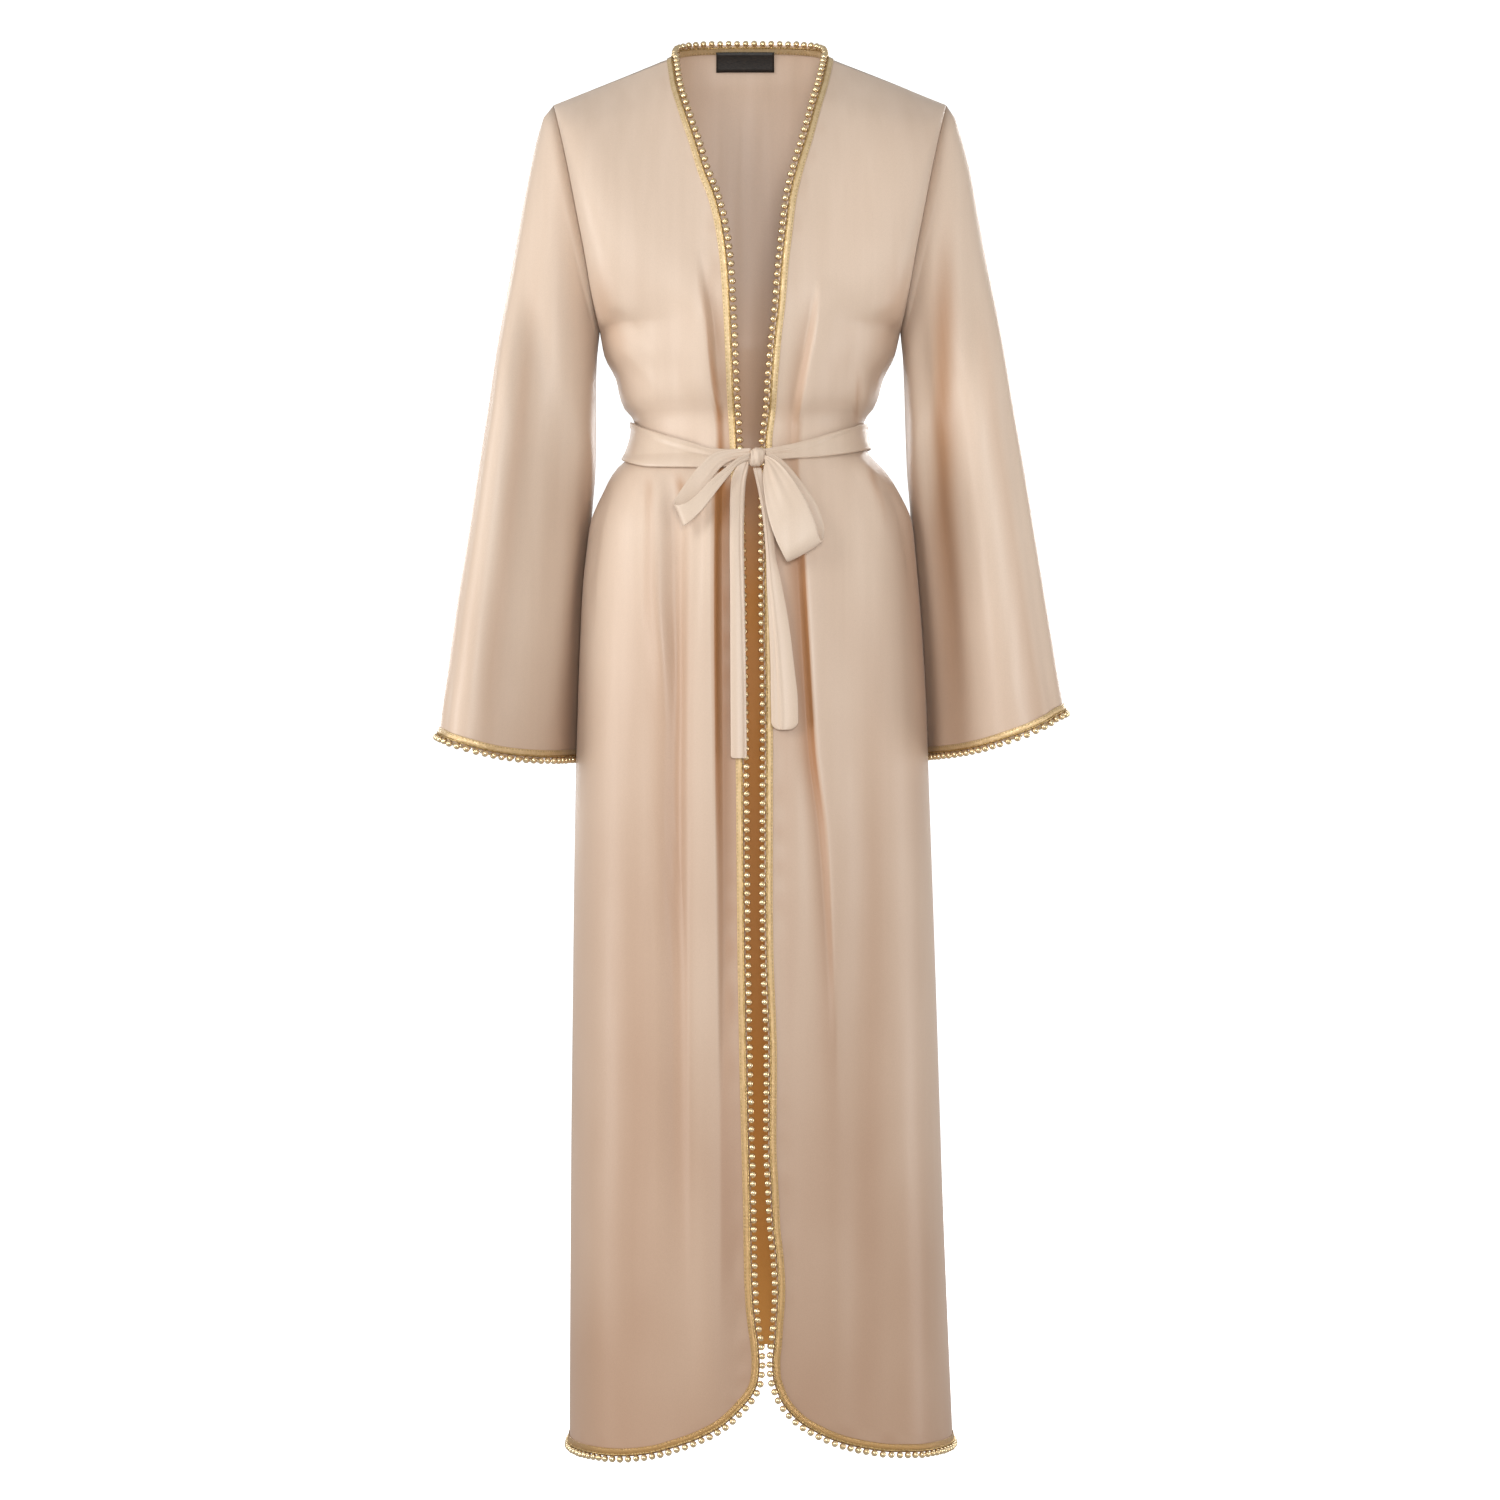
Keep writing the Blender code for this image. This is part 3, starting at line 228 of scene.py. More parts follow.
# share of the sleeve's length, inner x and height, outer x and height, half depth
SLEEVE_LEFT = np.array([
    (0.03, 151.5, -287, 206, -61, 56.5),
    (0.08, 153, -303, 213.5, -85, 58.5),
    (0.15, 153.8, -330, 220.5, -118, 61),
    (0.23, 153.8, -366, 228.5, -160, 63.5),
    (0.32, 154.5, -408, 237.5, -212, 66),
    (0.42, 158.8, -455, 246.5, -272, 68.5),
    (0.52, 162.5, -502, 255, -337, 71),
    (0.62, 166.2, -548, 265.5, -404, 74),
    (0.72, 168.6, -592, 276, -473, 76.5),
    (0.82, 170.2, -634, 288, -546, 79.5),
    (0.91, 171.8, -670, 297.5, -613, 82),
    (1.00, 172.9, -700, 306.5, -678, 84),
], float)
SLEEVE_RIGHT = np.array([
    (0.03, 151.5, -287, 204.5, -61, 56.5),
    (0.08, 153.2, -303, 213, -84, 58.5),
    (0.15, 154.5, -330, 221.5, -116, 61),
    (0.23, 155.5, -366, 229, -158, 63.5),
    (0.32, 157, -408, 237.5, -210, 66),
    (0.42, 161.5, -455, 246.5, -270, 68.5),
    (0.52, 164.5, -502, 255.5, -333, 71),
    (0.62, 168.8, -548, 267, -400, 74),
    (0.72, 171.9, -592, 278, -466, 76.5),
    (0.82, 173.9, -634, 289, -534, 79.5),
    (0.91, 175.8, -670, 299, -596, 82),
    (1.00, 177, -698, 309.5, -655, 84),
], float)
SLEEVE_BACKSET = -8.0
SLEEVE_TURN = 44.0
CUFF_SAG = 9.0
# Folds of the sleeves: half width in degrees round the ring (0 is the armpit side, 90 the
# front, 180 the outside), and the line as angle, share of the length, how far it stands out.
FOLDS_SLEEVE_LEFT = (
    (26, ((150, 0.10, 0), (140, 0.35, 4), (132, 0.75, 5), (128, 1, 4))),
    (20, ((100, 0.22, 0), (96, 0.5, -5), (92, 0.8, -5), (90, 1, -3))),
    (22, ((48, 0.3, 0), (50, 0.6, 4), (52, 1, 3))),
    (26, ((222, 0.15, 0), (226, 0.5, 5), (228, 1, 6))),
    (24, ((300, 0.2, 0), (296, 0.6, -4), (292, 1, -5))),
)
FOLDS_SLEEVE_RIGHT = (
    (22, ((50, 0.05, 0), (52, 0.25, -5), (56, 0.6, -6), (56, 1, -2))),
    (24, ((104, 0.15, 0), (104, 0.4, 5), (100, 0.8, 4), (98, 1, 3))),
    (24, ((150, 0.3, 0), (148, 0.7, -4), (146, 1, -4))),
    (26, ((230, 0.15, 0), (232, 0.5, 5), (230, 1, 6))),
    (22, ((290, 0.2, 0), (288, 0.6, -4), (286, 1, -4))),
)

# The belt round the waist: angle from the left of the front middle, all the way round
# past the back (180 is the middle of the back), top and bottom height
BELT = np.array([
    (-2, -402.5, -418), (16, -400.5, -420), (30, -392, -419), (45, -384.5, -417.5),
    (60, -377, -413), (78, -368.5, -408), (90, -364.5, -405), (120, -361, -400),
    (150, -360, -398), (180, -360, -398), (210, -361, -397), (240, -363.5, -395),
    (270, -366.5, -394), (285, -369, -397), (300, -375, -401), (315, -382, -405),
    (330, -390, -409.5), (344, -397, -412), (357, -402.5, -415),
], float)
BELT_CROWN = 1.2

KNOT_AT = (6.6, -115, -409.5)
KNOT_RADII = (7.6, 8, 9.6)

# Loops of the bow, from the back of the knot out to the fold and back to the front of the
# knot: x, y, height of the upper edge, then of the lower edge
LOOP_LEFT = np.array([
    (0.9, -114.8, -400.9, -0.5, -114.8, -408.7),
    (-14.5, -116, -401.6, -12.5, -115.6, -411),
    (-32.9, -118, -404.2, -25, -118, -416.8),
    (-49.3, -120.5, -418.4, -37, -120.5, -431),
    (-64.7, -123, -438.8, -48.5, -123.5, -449),
    (-71.8, -126.5, -450.4, -56, -127, -462),
    (-73.6, -130.5, -455.5, -64.5, -131.5, -477),
    (-71.2, -134.5, -457.5, -64.4, -136, -478.6),
    (-64.5, -137.5, -456.5, -58.5, -139.5, -474),
    (-53.5, -137, -449.5, -47.5, -139.5, -463.5),
    (-38.5, -133.5, -433.5, -31.8, -135.5, -443.5),
    (-21.8, -127, -419.2, -19, -128, -426.5),
    (-9.5, -122.5, -409.5, -10, -123, -416),
    (0.2, -119.2, -405.6, -1.2, -119.2, -412.4),
], float)
LOOP_RIGHT = np.array([
    (14.2, -113.6, -402.2, 16.2, -113.6, -409.8),
    (24, -117, -407, 20, -116.5, -418),
    (33.8, -122, -415.1, 18.5, -121, -432.4),
    (51.1, -127, -436.3, 21.5, -126, -459.5),
    (66.6, -131, -461.4, 29, -131, -488.4),
    (71.8, -134.5, -482.6, 35.5, -135, -506.5),
    (70.2, -139.5, -493, 36.5, -141, -512.8),
    (66.5, -145, -491.5, 35, -147, -511.8),
    (64.6, -147, -482, 31.5, -148.5, -505),
    (57.5, -146, -461.5, 23.5, -148, -488),
    (44.5, -140.5, -437, 15.5, -142, -459),
    (29.5, -131, -417.5, 12.8, -132.5, -432),
    (21, -125, -410.5, 13.5, -125.5, -420.5),
    (13.4, -119.2, -407.6, 15.4, -119.2, -414.4),
], float)
# Tails: middle x, height, width; they hang just off the fronts
TAIL_LEFT = np.array([
    (-4, -412, 7), (-8.5, -422, 13), (-11.3, -434, 14.5), (-12.4, -456, 14.2), (-12.8, -490, 13.8),
    (-12.2, -540, 14.2), (-11.6, -600, 15), (-11.2, -650, 15.3), (-10.8, -701, 15.5),
], float)
TAIL_RIGHT = np.array([
    (7, -419.7, 8), (13.5, -448, 9), (18, -480, 9), (19.6, -500, 9), (23, -530, 14),
    (27.5, -568, 19), (31.5, -618, 23.5), (33, -645, 26), (33.4, -665, 26), (33, -673.5, 22),
], float)
TAIL_LIFT = 5.5
TAIL_WALL = 1.6

# Creases: width on one side of the line, width on the other, and the line itself as across,
# height, how far it stands out. Across is x on the fronts, millimetres round from the left
# side seam on the back, and millimetres round from the armpit side on a sleeve.
CREASES_LEFT = (
    (9, 9, ((-150, -262, 0), (-128, -270, -1.6), (-104, -290, -1.2), (-84, -318, 0))),
    (8, 8, ((-146, -284, 0), (-124, -300, 1.4), (-100, -326, 1.2), (-84, -350, 0))),
    (7, 7, ((-120, -345, 0), (-104, -362, 0.8), (-90, -372, 0))),
    (6, 6, ((-128, -424, 0), (-112, -432, 1.4), (-98, -452, 1), (-92, -480, 0))),
    (7, 7, ((-136, -428, 0), (-150, -470, -1.8), (-157, -530, -1.8), (-158, -590, 0))),
    (6, 6, ((-146, -430, 0), (-162, -480, 1.6), (-168, -530, 1.4), (-169, -575, 0))),
    (5, 5, ((-44, -425, 0), (-48, -450, -1.6), (-50, -520, -1.4), (-52, -600, 0))),
    (30, 30, ((-160, -570, 0), (-120, -572, 0.5), (-60, -568, 0))),
)
CREASES_RIGHT = (
    (9, 9, ((150, -262, 0), (128, -272, -1.6), (106, -296, -1.2), (92, -326, 0))),
    (8, 8, ((146, -288, 0), (126, -304, 1.3), (104, -332, 1), (92, -352, 0))),
    (5, 5, ((96, -404, 0), (112, -412, 1.5), (130, -428, 1.3), (142, -446, 0))),
    (6, 6, ((132, -424, 0), (148, -462, -1.6), (158, -520, -1.4), (162, -580, 0))),
    (5, 5, ((66, -422, 0), (68, -450, -1.4), (72, -520, -1.2), (76, -600, 0))),
    (30, 30, ((60, -572, 0), (110, -576, 0.5), (165, -572, 0))),
)

# Painted shade in the folds and creases of the fronts, and painted shadows of the bow's loops: width on the
# side seam's side, width on the edge's side, and the line as x, height, depth of painted shade from 0 to 1.
PAINTED_SHADE_LEFT = (
    (4, 42, ((-51, -222, 0), (-43, -273, 0.4), (-36, -333, 0.42), (-30, -378, 0.4), (-29, -430, 0.45),
             (-32, -445, 0.75), (-33, -560, 0.85), (-32, -700, 0.8), (-29, -850, 0.55), (-27, -1000, 0.35),
             (-26, -1150, 0.3), (-26, -1260, 0))),
    (3, 7, ((-42, -273, 0), (-36, -333, 0.35), (-30, -378, 0.5), (-29, -432, 0.5), (-33, -446, 0.3),
            (-34, -560, 0.2), (-33, -700, 0.15), (-31, -800, 0))),
    (28, 20, ((-72, -440, 0), (-70, -520, 0.3), (-70, -640, 0.5), (-70, -760, 0.45), (-68, -1000, 0.3),
              (-66, -1280, 0))),
    (14, 14, ((-98, -470, 0), (-94, -560, 0.14), (-90, -700, 0.12), (-86, -900, 0))),
    # painted shadow cast by the bow's left loop
    (8, 8, ((-70, -422, 0), (-67, -438, 0.6), (-64, -452, 0.6), (-60, -476, 0))),
    (44, 40, ((-108, -480, 0), (-108, -560, 0.14), (-108, -760, 0.12), (-108, -960, 0.24), (-104, -1150, 0.2),
              (-104, -1300, 0))),
    # painted shadow of the bow, on the strip beside the tape
    (4, 40, ((-33, -424, 0), (-33, -438, 0.35), (-33, -456, 0.35), (-33, -486, 0))),
    (7, 7, ((-100, -424, 0), (-98, -440, 0.25), (-97, -500, 0.12), (-96, -580, 0))),
    (30, 5, ((-163, -430, 0), (-168, -500, 0.3), (-171, -580, 0.25), (-173, -700, 0.12), (-176, -900, 0))),
    (22, 22, ((-150, -210, 0), (-142, -262, 0.3), (-128, -310, 0.12), (-120, -350, 0))),
)
PAINTED_SHADE_RIGHT = (
    (3, 24, ((66, -250, 0), (60, -290, 0.3), (54, -325, 0.42), (47, -372, 0.45), (46, -425, 0.5),
             (49, -440, 0.7), (52, -509, 0.9), (56.5, -598, 1), (62.5, -694, 0.95), (72, -772, 0.6),
             (79, -894, 0.35), (83, -1000, 0.15), (85, -1080, 0))),
    (16, 26, ((34, -430, 0), (33, -460, 0.2), (34, -600, 0.25), (36, -760, 0.2), (38, -900, 0.1),
              (40, -980, 0))),
    (26, 22, ((120, -560, 0), (120, -700, 0.12), (118, -1000, 0.2), (112, -1300, 0.1), (110, -1380, 0))),
    (3, 6, ((107, -318, 0), (107, -345, 0.45), (105, -362, 0.35), (104, -372, 0))),
    (6, 6, ((116, -404, 0), (120, -425, 0.3), (128, -448, 0.2), (134, -480, 0))),
    (5, 30, ((160, -430, 0), (166, -500, 0.25), (172, -580, 0.2), (176, -700, 0.1), (184, -900, 0))),
    (22, 22, ((150, -210, 0), (142, -262, 0.3), (128, -310, 0.12), (120, -350, 0))),
)
# Painted shade in the sleeves' folds: half width in degrees round the ring, and the line as angle, share of
# the length, depth of painted shade from 0 to 1.
PAINTED_SHADE_SLEEVE_LEFT = (
    (30, ((20, 0.12, 0), (24, 0.4, 0.3), (28, 0.8, 0.35), (30, 1, 0.3))),
    (14, ((118, 0.2, 0), (113, 0.5, 0.22), (110, 0.8, 0.2), (108, 1, 0.1))),
    (16, ((168, 0.3, 0), (165, 0.6, 0.15), (163, 1, 0.15))),
)
PAINTED_SHADE_SLEEVE_RIGHT = (
    (28, ((92, 0.08, 0), (84, 0.25, 0.7), (68, 0.42, 0.75), (58, 0.65, 0.55), (52, 1, 0.3))),
    (24, ((20, 0.1, 0), (20, 0.4, 0.2), (20, 1, 0.2))),
    (14, ((128, 0.3, 0), (126, 0.6, 0.18), (124, 1, 0.15))),
)

def smooth(table, column, at):
    """A curve through one column of a table, at values of its first column, with no overshoot."""
    order = np.argsort(table[:, 0])
    x, y = table[order, 0], table[order, column]
    step = np.diff(x)
    slope = np.diff(y) / step
    tilt = np.zeros(len(x))
    tilt[0], tilt[-1] = slope[0], slope[-1]
    for i in range(1, len(x) - 1):
        if slope[i - 1] * slope[i] > 0:
            a, b = 2 * step[i] + step[i - 1], step[i] + 2 * step[i - 1]
            tilt[i] = (a + b) / (a / slope[i - 1] + b / slope[i])
    at = np.clip(np.asarray(at, float), x[0], x[-1])
    i = np.clip(np.searchsorted(x, at) - 1, 0, len(x) - 2)
    t, h = (at - x[i]) / step[i], step[i]
    start = y[i] * (1 + 2 * t) * (1 - t) ** 2 + h * tilt[i] * t * (1 - t) ** 2
    return start + y[i + 1] * t * t * (3 - 2 * t) + h * tilt[i + 1] * t * t * (t - 1)


def half_width(side, z):
    return smooth(BODY, 1 if side < 0 else 2, z)


def front_point(side, angle, z):
    """A point of a front below the armpit; the angle is 0 at the side seam, 90 in the middle."""
    width, depth = half_width(side, z), smooth(BODY, 3, z)
    bend = np.maximum(np.sin(angle), 0.0) ** SQUARE
    return np.stack([side * width * np.cos(angle), -depth * bend, np.asarray(z, float) + 0 * bend], -1)


def front_angle(side, x, z):
    """The angle of a front's point that lies at x."""
    return np.arccos(np.clip(side * np.asarray(x, float) / half_width(side, z), -1, 1))


def back_point(angle, z):
    """A point of the back below the armpit; the angle is 0 at the left seam, 180 at the right."""
    left, right = smooth(BODY, 1, z), smooth(BODY, 2, z)
    share = (1 - np.cos(angle)) / 2
    width = left * (1 - share) + right * share
    bend = np.maximum(np.sin(angle), 0.0) ** SQUARE
    depth = smooth(BODY, 4, z)
    return np.stack([-width * np.cos(angle), depth * bend, np.asarray(z, float) + 0 * bend], -1)


def bump(distance):
    """1 in the middle and 0 from a distance of 1 on, with a soft foot."""
    return np.where(np.abs(distance) < 1, np.cos(np.clip(distance, -1, 1) * math.pi / 2) ** 2, 0.0)


def ease(share):
    """0 below 0, 1 above 1 and a soft rise between."""
    share = min(max(share, 0.0), 1.0)
    return share * share * (3 - 2 * share)


def along(line, at, column):
    """One column of a fold's line at a height or share."""
    rows = np.array([(row[1], row[0], row[2]) for row in line], float)
    return smooth(rows, 1 if column == 0 else 2, at)


def front_folds(side, folds, points):
    """How far a front stands out at its points, or how deep its painted shade is there."""
    x, z = points[:, 0], points[:, 2]
    out = np.zeros(len(points))
    for seam_width, edge_width, line in folds:
        keys = [row[1] for row in line]
        offset = (x - along(line, z, 0)) * -side  # positive towards the edge
        width = np.where(offset > 0, edge_width, seam_width)
        inside = (z <= max(keys)) & (z >= min(keys))
        out += np.where(inside, along(line, z, 2) * bump(offset / width), 0.0)
    return out


def round_folds(folds, degrees, at):
    """The same for the back and the sleeves, by degrees round and height or share of the length."""
    out = np.zeros(len(degrees))
    for width, line in folds:
        keys = [row[1] for row in line]
        turn = (degrees - along(line, at, 0) + 180) % 360 - 180
        inside = (at <= max(keys)) & (at >= min(keys))
        out += np.where(inside, along(line, at, 2) * bump(turn / width), 0.0)
    return out


def nearest(a, b, line):
    """Signed distance to a line of points, how far along it (0 to its last point), per point."""
    line = np.asarray(line, float)
    best = np.full(len(a), 1e9)
    signed = np.zeros(len(a))
    place = np.zeros(len(a))
    for k in range(len(line) - 1):
        start, end = line[k, :2], line[k + 1, :2]
        way = end - start
        t = np.clip(((a - start[0]) * way[0] + (b - start[1]) * way[1]) / (way @ way), 0, 1)
        da, db = a - start[0] - t * way[0], b - start[1] - t * way[1]
        far = np.hypot(da, db)
        closer = far < best
        best = np.where(closer, far, best)
        signed = np.where(closer, np.where(way[0] * db - way[1] * da >= 0, far, -far), signed)
        place = np.where(closer, k + t, place)
    return signed, place


def creases(table, a, b):
    """How far small creases stand out at points given by two coordinates."""
    out = np.zeros(len(a))
    for one, other, line in table:
        far, place = nearest(a, b, line)
        height = np.interp(place, range(len(line)), [row[2] for row in line])
        out += height * bump(far / np.where(far > 0, one, other))
    return out


def ripple(a, b, sizes, seed):
    """An uneven, soft waviness of about 1 in height, made of waves of several sizes."""
    out = np.zeros(len(a))
    for k in range(7):
        turn = math.sin(seed * 12.9 + k * 78.2) * 0.5
        wa, wb = sizes[0] * (0.7 + 0.22 * k), sizes[1] * (0.8 + 0.17 * k)
        phase = math.sin(seed * 3.7 + k * 5.1) * 9
        shift = 1.3 * np.sin(b / (wb * 1.7) + k + seed)
        out += np.sin(a / wa + turn * b / wb + phase + shift) * np.cos(b / wb + phase * 2.1)
    return out / 3.5


def normals_of(points, quads):
    """Normals at the points, by area, of a mesh of quads that wind outwards."""
    total = np.zeros_like(points)
    q = np.array(quads)
    face = np.cross(points[q[:, 2]] - points[q[:, 0]], points[q[:, 3]] - points[q[:, 1]])
    for k in range(4):
        np.add.at(total, q[:, k], face)
    return total / np.maximum(np.linalg.norm(total, axis=1), 1e-9)[:, None]


def grid_quads(rows, columns, closed=False):
    quads = []
    for i in range(rows - 1):
        for j in range(columns if closed else columns - 1):
            k = (j + 1) % columns
            quads.append((i * columns + j, (i + 1) * columns + j, (i + 1) * columns + k, i * columns + k))
    return quads


def flip(quads):
    return [tuple(reversed(q)) for q in quads]


def split(start, end, count):
    """Values after the start, up to the end, evenly spaced."""
    return [start + (end - start) * k / count for k in range(1, count + 1)]


def lengths(line):
    """How far along a line of points each of them is."""
    return np.concatenate([[0], np.cumsum(np.linalg.norm(np.diff(line, axis=0), axis=1))])


def walk(points, distances):
    """Points at distances along a polyline."""
    run = lengths(points)
    return np.stack([np.interp(distances, run, points[:, k]) for k in range(points.shape[1])], -1)


def last_rows(points, normals, columns):
    """The last row of a grid, the row before it and the normals there."""
    before = slice(-2 * columns, -columns)
    return points[-columns:], points[before], normals[before]


def settled(points, quads, fixed):
    """Normals of a panel, with those along its seams as given, so that walls meet there."""
    found = normals_of(points, quads)
    for i, normal in fixed.items():
        found[i] = normal
    return found


def link(thing):
    bpy.context.scene.collection.objects.link(thing)

def add_piece(name, points, faces, material, nodes=(), uv=None, flat_from=None, tone=None):
    """A piece of the garment, from points in millimetres; faces from flat_from on aren't smoothed."""
    mesh = bpy.data.meshes.new(name)
    mesh.from_pydata([tuple(float(c) * MM for c in p) for p in points], [], faces)
    mesh.validate()
    shade = np.ones(len(mesh.polygons), bool)
    if flat_from is not None:
        shade[flat_from:] = False
    mesh.polygons.foreach_set("use_smooth", shade)
    if uv is not None:
        layer = mesh.uv_layers.new(name="along")
        corner = np.zeros(len(mesh.loops), int)
        mesh.loops.foreach_get("vertex_index", corner)
        layer.data.foreach_set("uv", np.asarray(uv, float)[corner].ravel())
    if tone is not None:
        # painted shade of the folds, kept on each point
        mesh.attributes.new("fold_tone", "FLOAT", "POINT").data.foreach_set("value", tone)
    for one in material if isinstance(material, (list, tuple)) else [material]:
        mesh.materials.append(one)
    piece = bpy.data.objects.new(name, mesh)
    link(piece)
    tidy = bmesh.new()
    tidy.from_mesh(mesh)
    bmesh.ops.recalc_face_normals(tidy, faces=tidy.faces)
    tidy.to_mesh(mesh)
    tidy.free()
    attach(piece, "root")
    if nodes:
        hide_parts(*nodes)
    return piece


def add_shell(name, outer, inner, quads, material, slot, nodes, uv=None, tone=None, lining=None):
    """A closed thin wall between two copies of a mesh of quads."""
    count = len(outer)
    used = set()
    for a, b, c, d in quads:
        used.update(((a, b), (b, c), (c, d), (d, a)))
    faces = list(quads) + [(a + count, d + count, c + count, b + count) for a, b, c, d in quads]
    flat_from = len(faces)
    faces += [(v, u, u + count, v + count) for u, v in sorted(used) if (v, u) not in used]
    both = None if uv is None else np.concatenate([uv, uv])
    tones = None if tone is None else np.concatenate([tone, tone * 0])
    cloths = [material] if lining is None else [material, lining]
    piece = add_piece(name, np.concatenate([outer, inner]), faces, cloths, nodes, both, flat_from,
                      tones)
    # the inner wall takes the second material, with its painted shade and painted glow
    if lining is not None:
        chosen = np.zeros(len(piece.data.polygons), int)
        chosen[len(quads):2 * len(quads)] = 1
        piece.data.polygons.foreach_set("material_index", chosen)
    return piece


def add_panel(name, points, normals, quads, **looks):
    return add_shell(f"{name}_cloth", points, points - normals * WALL, quads, SATIN, "satin", [name], **looks)


def add_tape(name, outside, inside, normals, material, nodes, closed=False, face=1.0):
    """A crowned band along two lines of points; face is -1 on the wrong side of the cloth."""
    across = np.array([0.0, 0.1, 0.3, 0.5, 0.7, 0.9, 1.0])
    height = LIFT + TAPE_WALL + TAPE_CROWN * np.sin(np.pi * np.clip(across, 0.02, 0.98)) ** 0.6
    low = LIFT + 0 * across
    run = lengths(outside)
    ring_at = np.concatenate([across, across[::-1]])
    ring_up = np.concatenate([height, low])
    points, uv = [], []
    for i in range(len(outside)):
        for t, h in zip(ring_at, ring_up):
            share = TAPE_FROM + (TAPE_TO - TAPE_FROM) * t
            points.append(outside[i] + (inside[i] - outside[i]) * share + normals[i] * h * face)
            uv.append((run[i] / 10, t))
    size, rows = len(ring_at), len(outside)
    faces = []
    for i in range(rows if closed else rows - 1):
        for j in range(size):
            k, n = (j + 1) % size, (i + 1) % rows
            faces.append((i * size + j, n * size + j, n * size + k, i * size + k))
    if not closed:
        faces += [tuple(range(size)), tuple((rows - 1) * size + j for j in range(size))]
    return add_piece(name, points, faces, material, nodes, uv)


def stations(line, normals, outward, at):
    """Point, unit normal and unit outward direction at distances along a line of points."""
    data = np.concatenate([line, normals, outward], 1)
    run = lengths(line)
    for row in np.stack([np.interp(at, run, data[:, k]) for k in range(9)], -1):
        yield row[:3], row[3:6] / np.linalg.norm(row[3:6]), row[6:9] / np.linalg.norm(row[6:9])


def add_beads(name, line, normals, outward, pitch, lift=1.8, push=2.3):
    """One joined mesh of beads along a line, about a pitch apart."""
    ball = bmesh.new()
    bmesh.ops.create_uvsphere(ball, u_segments=12, v_segments=8, radius=1.0)
    shape = np.array([v.co[:] for v in ball.verts])
    ball_faces = sorted(tuple(v.index for v in f.verts) for f in ball.faces)
    ball.free()
    length = float(np.linalg.norm(np.diff(line, axis=0), axis=1).sum())
    count = max(1, round(length / pitch))
    at = (np.arange(count) + 0.5) * length / count
    points, faces = [], []
    for n, (place, normal, out) in enumerate(stations(line, normals, outward, at)):
        wobble = math.sin(n * 2.4) * 0.12
        size = BEAD * (1 + 0.02 * math.sin(n * 7.3))
        points.append(place + normal * (lift + wobble) + out * (push + wobble) + shape * size)
        faces += [tuple(i + n * len(shape) for i in f) for f in ball_faces]
    return add_piece(name, np.concatenate(points), faces, BEADS)


def add_braid(name, line, normals, outward):
    """A looped braid: two strands that cross each other beside the beads."""
    length, sides = lengths(line)[-1], 5
    count = int(length / BRAID_STEP)
    places = list(stations(line, normals, outward, np.linspace(0, length, count)))
    points, faces = [], []
    for strand in (0, 1):
        base = len(points)
        for n, (place, normal, out) in enumerate(places):
            turn = n * math.pi / 2.6 + strand * math.pi
            centre = place + out * (-2.2 + 0.55 * math.cos(turn)) + normal * (1.7 + 0.3 * math.sin(turn))
            for k in range(sides):
                a = k * math.tau / sides
                points.append(centre + (out * math.cos(a) + normal * math.sin(a)) * BRAID * 0.75)
        for n in range(count - 1):
            here, there = base + n * sides, base + (n + 1) * sides
            faces += [(here + k, here + (k + 1) % sides, there + (k + 1) % sides, there + k)
                      for k in range(sides)]
        faces += [tuple(base + k for k in range(sides)),
                  tuple(base + (count - 1) * sides + k for k in range(sides))]
    return add_piece(name, points, faces, BRAID_GOLD)


def add_trim(name, rim, foot, up, pitch, closed=False):
    """The tape along an edge, its row of beads and its braid."""
    tape = add_tape(f"tape_{name}_band", rim, foot, up, TAPE_GOLD, [f"tape_{name}"], closed)
    if closed:
        rim, foot, up = (np.concatenate([line, line[:1]]) for line in (rim, foot, up))
    return [tape, add_beads(f"beads_{name}", rim, up, rim - foot, pitch),
            add_braid(f"braid_{name}", rim, up, rim - foot)]

def front_columns(side, z, lines, shares, edge):
    """Angles of a front's columns at a height, from the side seam to the tape's inner edge."""
    marks = [front_angle(side, smooth(lines, k + 1, z), z) for k in range(3)]
    marks.append(front_angle(side, smooth(edge, 1, z) + side * TAPE_WIDTH, z))
    angles = [0.0]
    for mark, count in zip(marks, shares):
        angles += split(angles[-1], float(mark), count)
    return angles


def fine_levels(parts):
    """The armhole's levels from the top down, each step cut into parts, without the armpit's."""
    levels = ARMHOLE[::-1, 0]
    out = []
    for high, low in zip(levels[:-1], levels[1:]):
        out += [high + (low - high) * k / parts for k in range(parts)]
    return out


def front_yoke(side, bottom, share, edge):
    """Rows of a front above the armpit, from the shoulder seam down."""
    tip = ARMHOLE[-1]
    seam_start = np.array([side * tip[1], 0, tip[2]])
    seam_end = np.array([side * NECK_HALF, 0, 0])
    top = seam_start + (seam_end - seam_start) * share[:, None]
    rows = []
    for level in fine_levels(YOKE_PARTS):
        x, z, depth = (smooth(ARMHOLE, k, level) for k in (1, 2, 3))
        edge_z = ARMPIT * (1 - level)
        edge_depth = smooth(EDGE_DEPTH, 1, edge_z)
        inner = np.array([smooth(edge, 1, edge_z), -edge_depth, edge_z])
        outer = np.array([side * x, -depth, z])
        row = bottom + (top - bottom) * level
        row[:, 1] = bottom[:, 1] * edge_depth / EDGE_DEPTH[-1, 1]
        row += (outer - row[0]) * ((1 - share) ** 2)[:, None] + (inner - row[-1]) * share[:, None]
        rows.append(row)
    return rows


def rim_at(ruler, length, distances):
    """Points at distances along the hem line, and the tape's foot a tape's width inside them."""
    here = walk(ruler, distances)
    heading = walk(ruler, np.minimum(distances + 4, length)) - walk(ruler, np.maximum(distances - 4, 0))
    heading /= np.linalg.norm(heading, axis=1)[:, None]
    return here, here + np.stack([heading[:, 1], -heading[:, 0]], -1) * TAPE_WIDTH


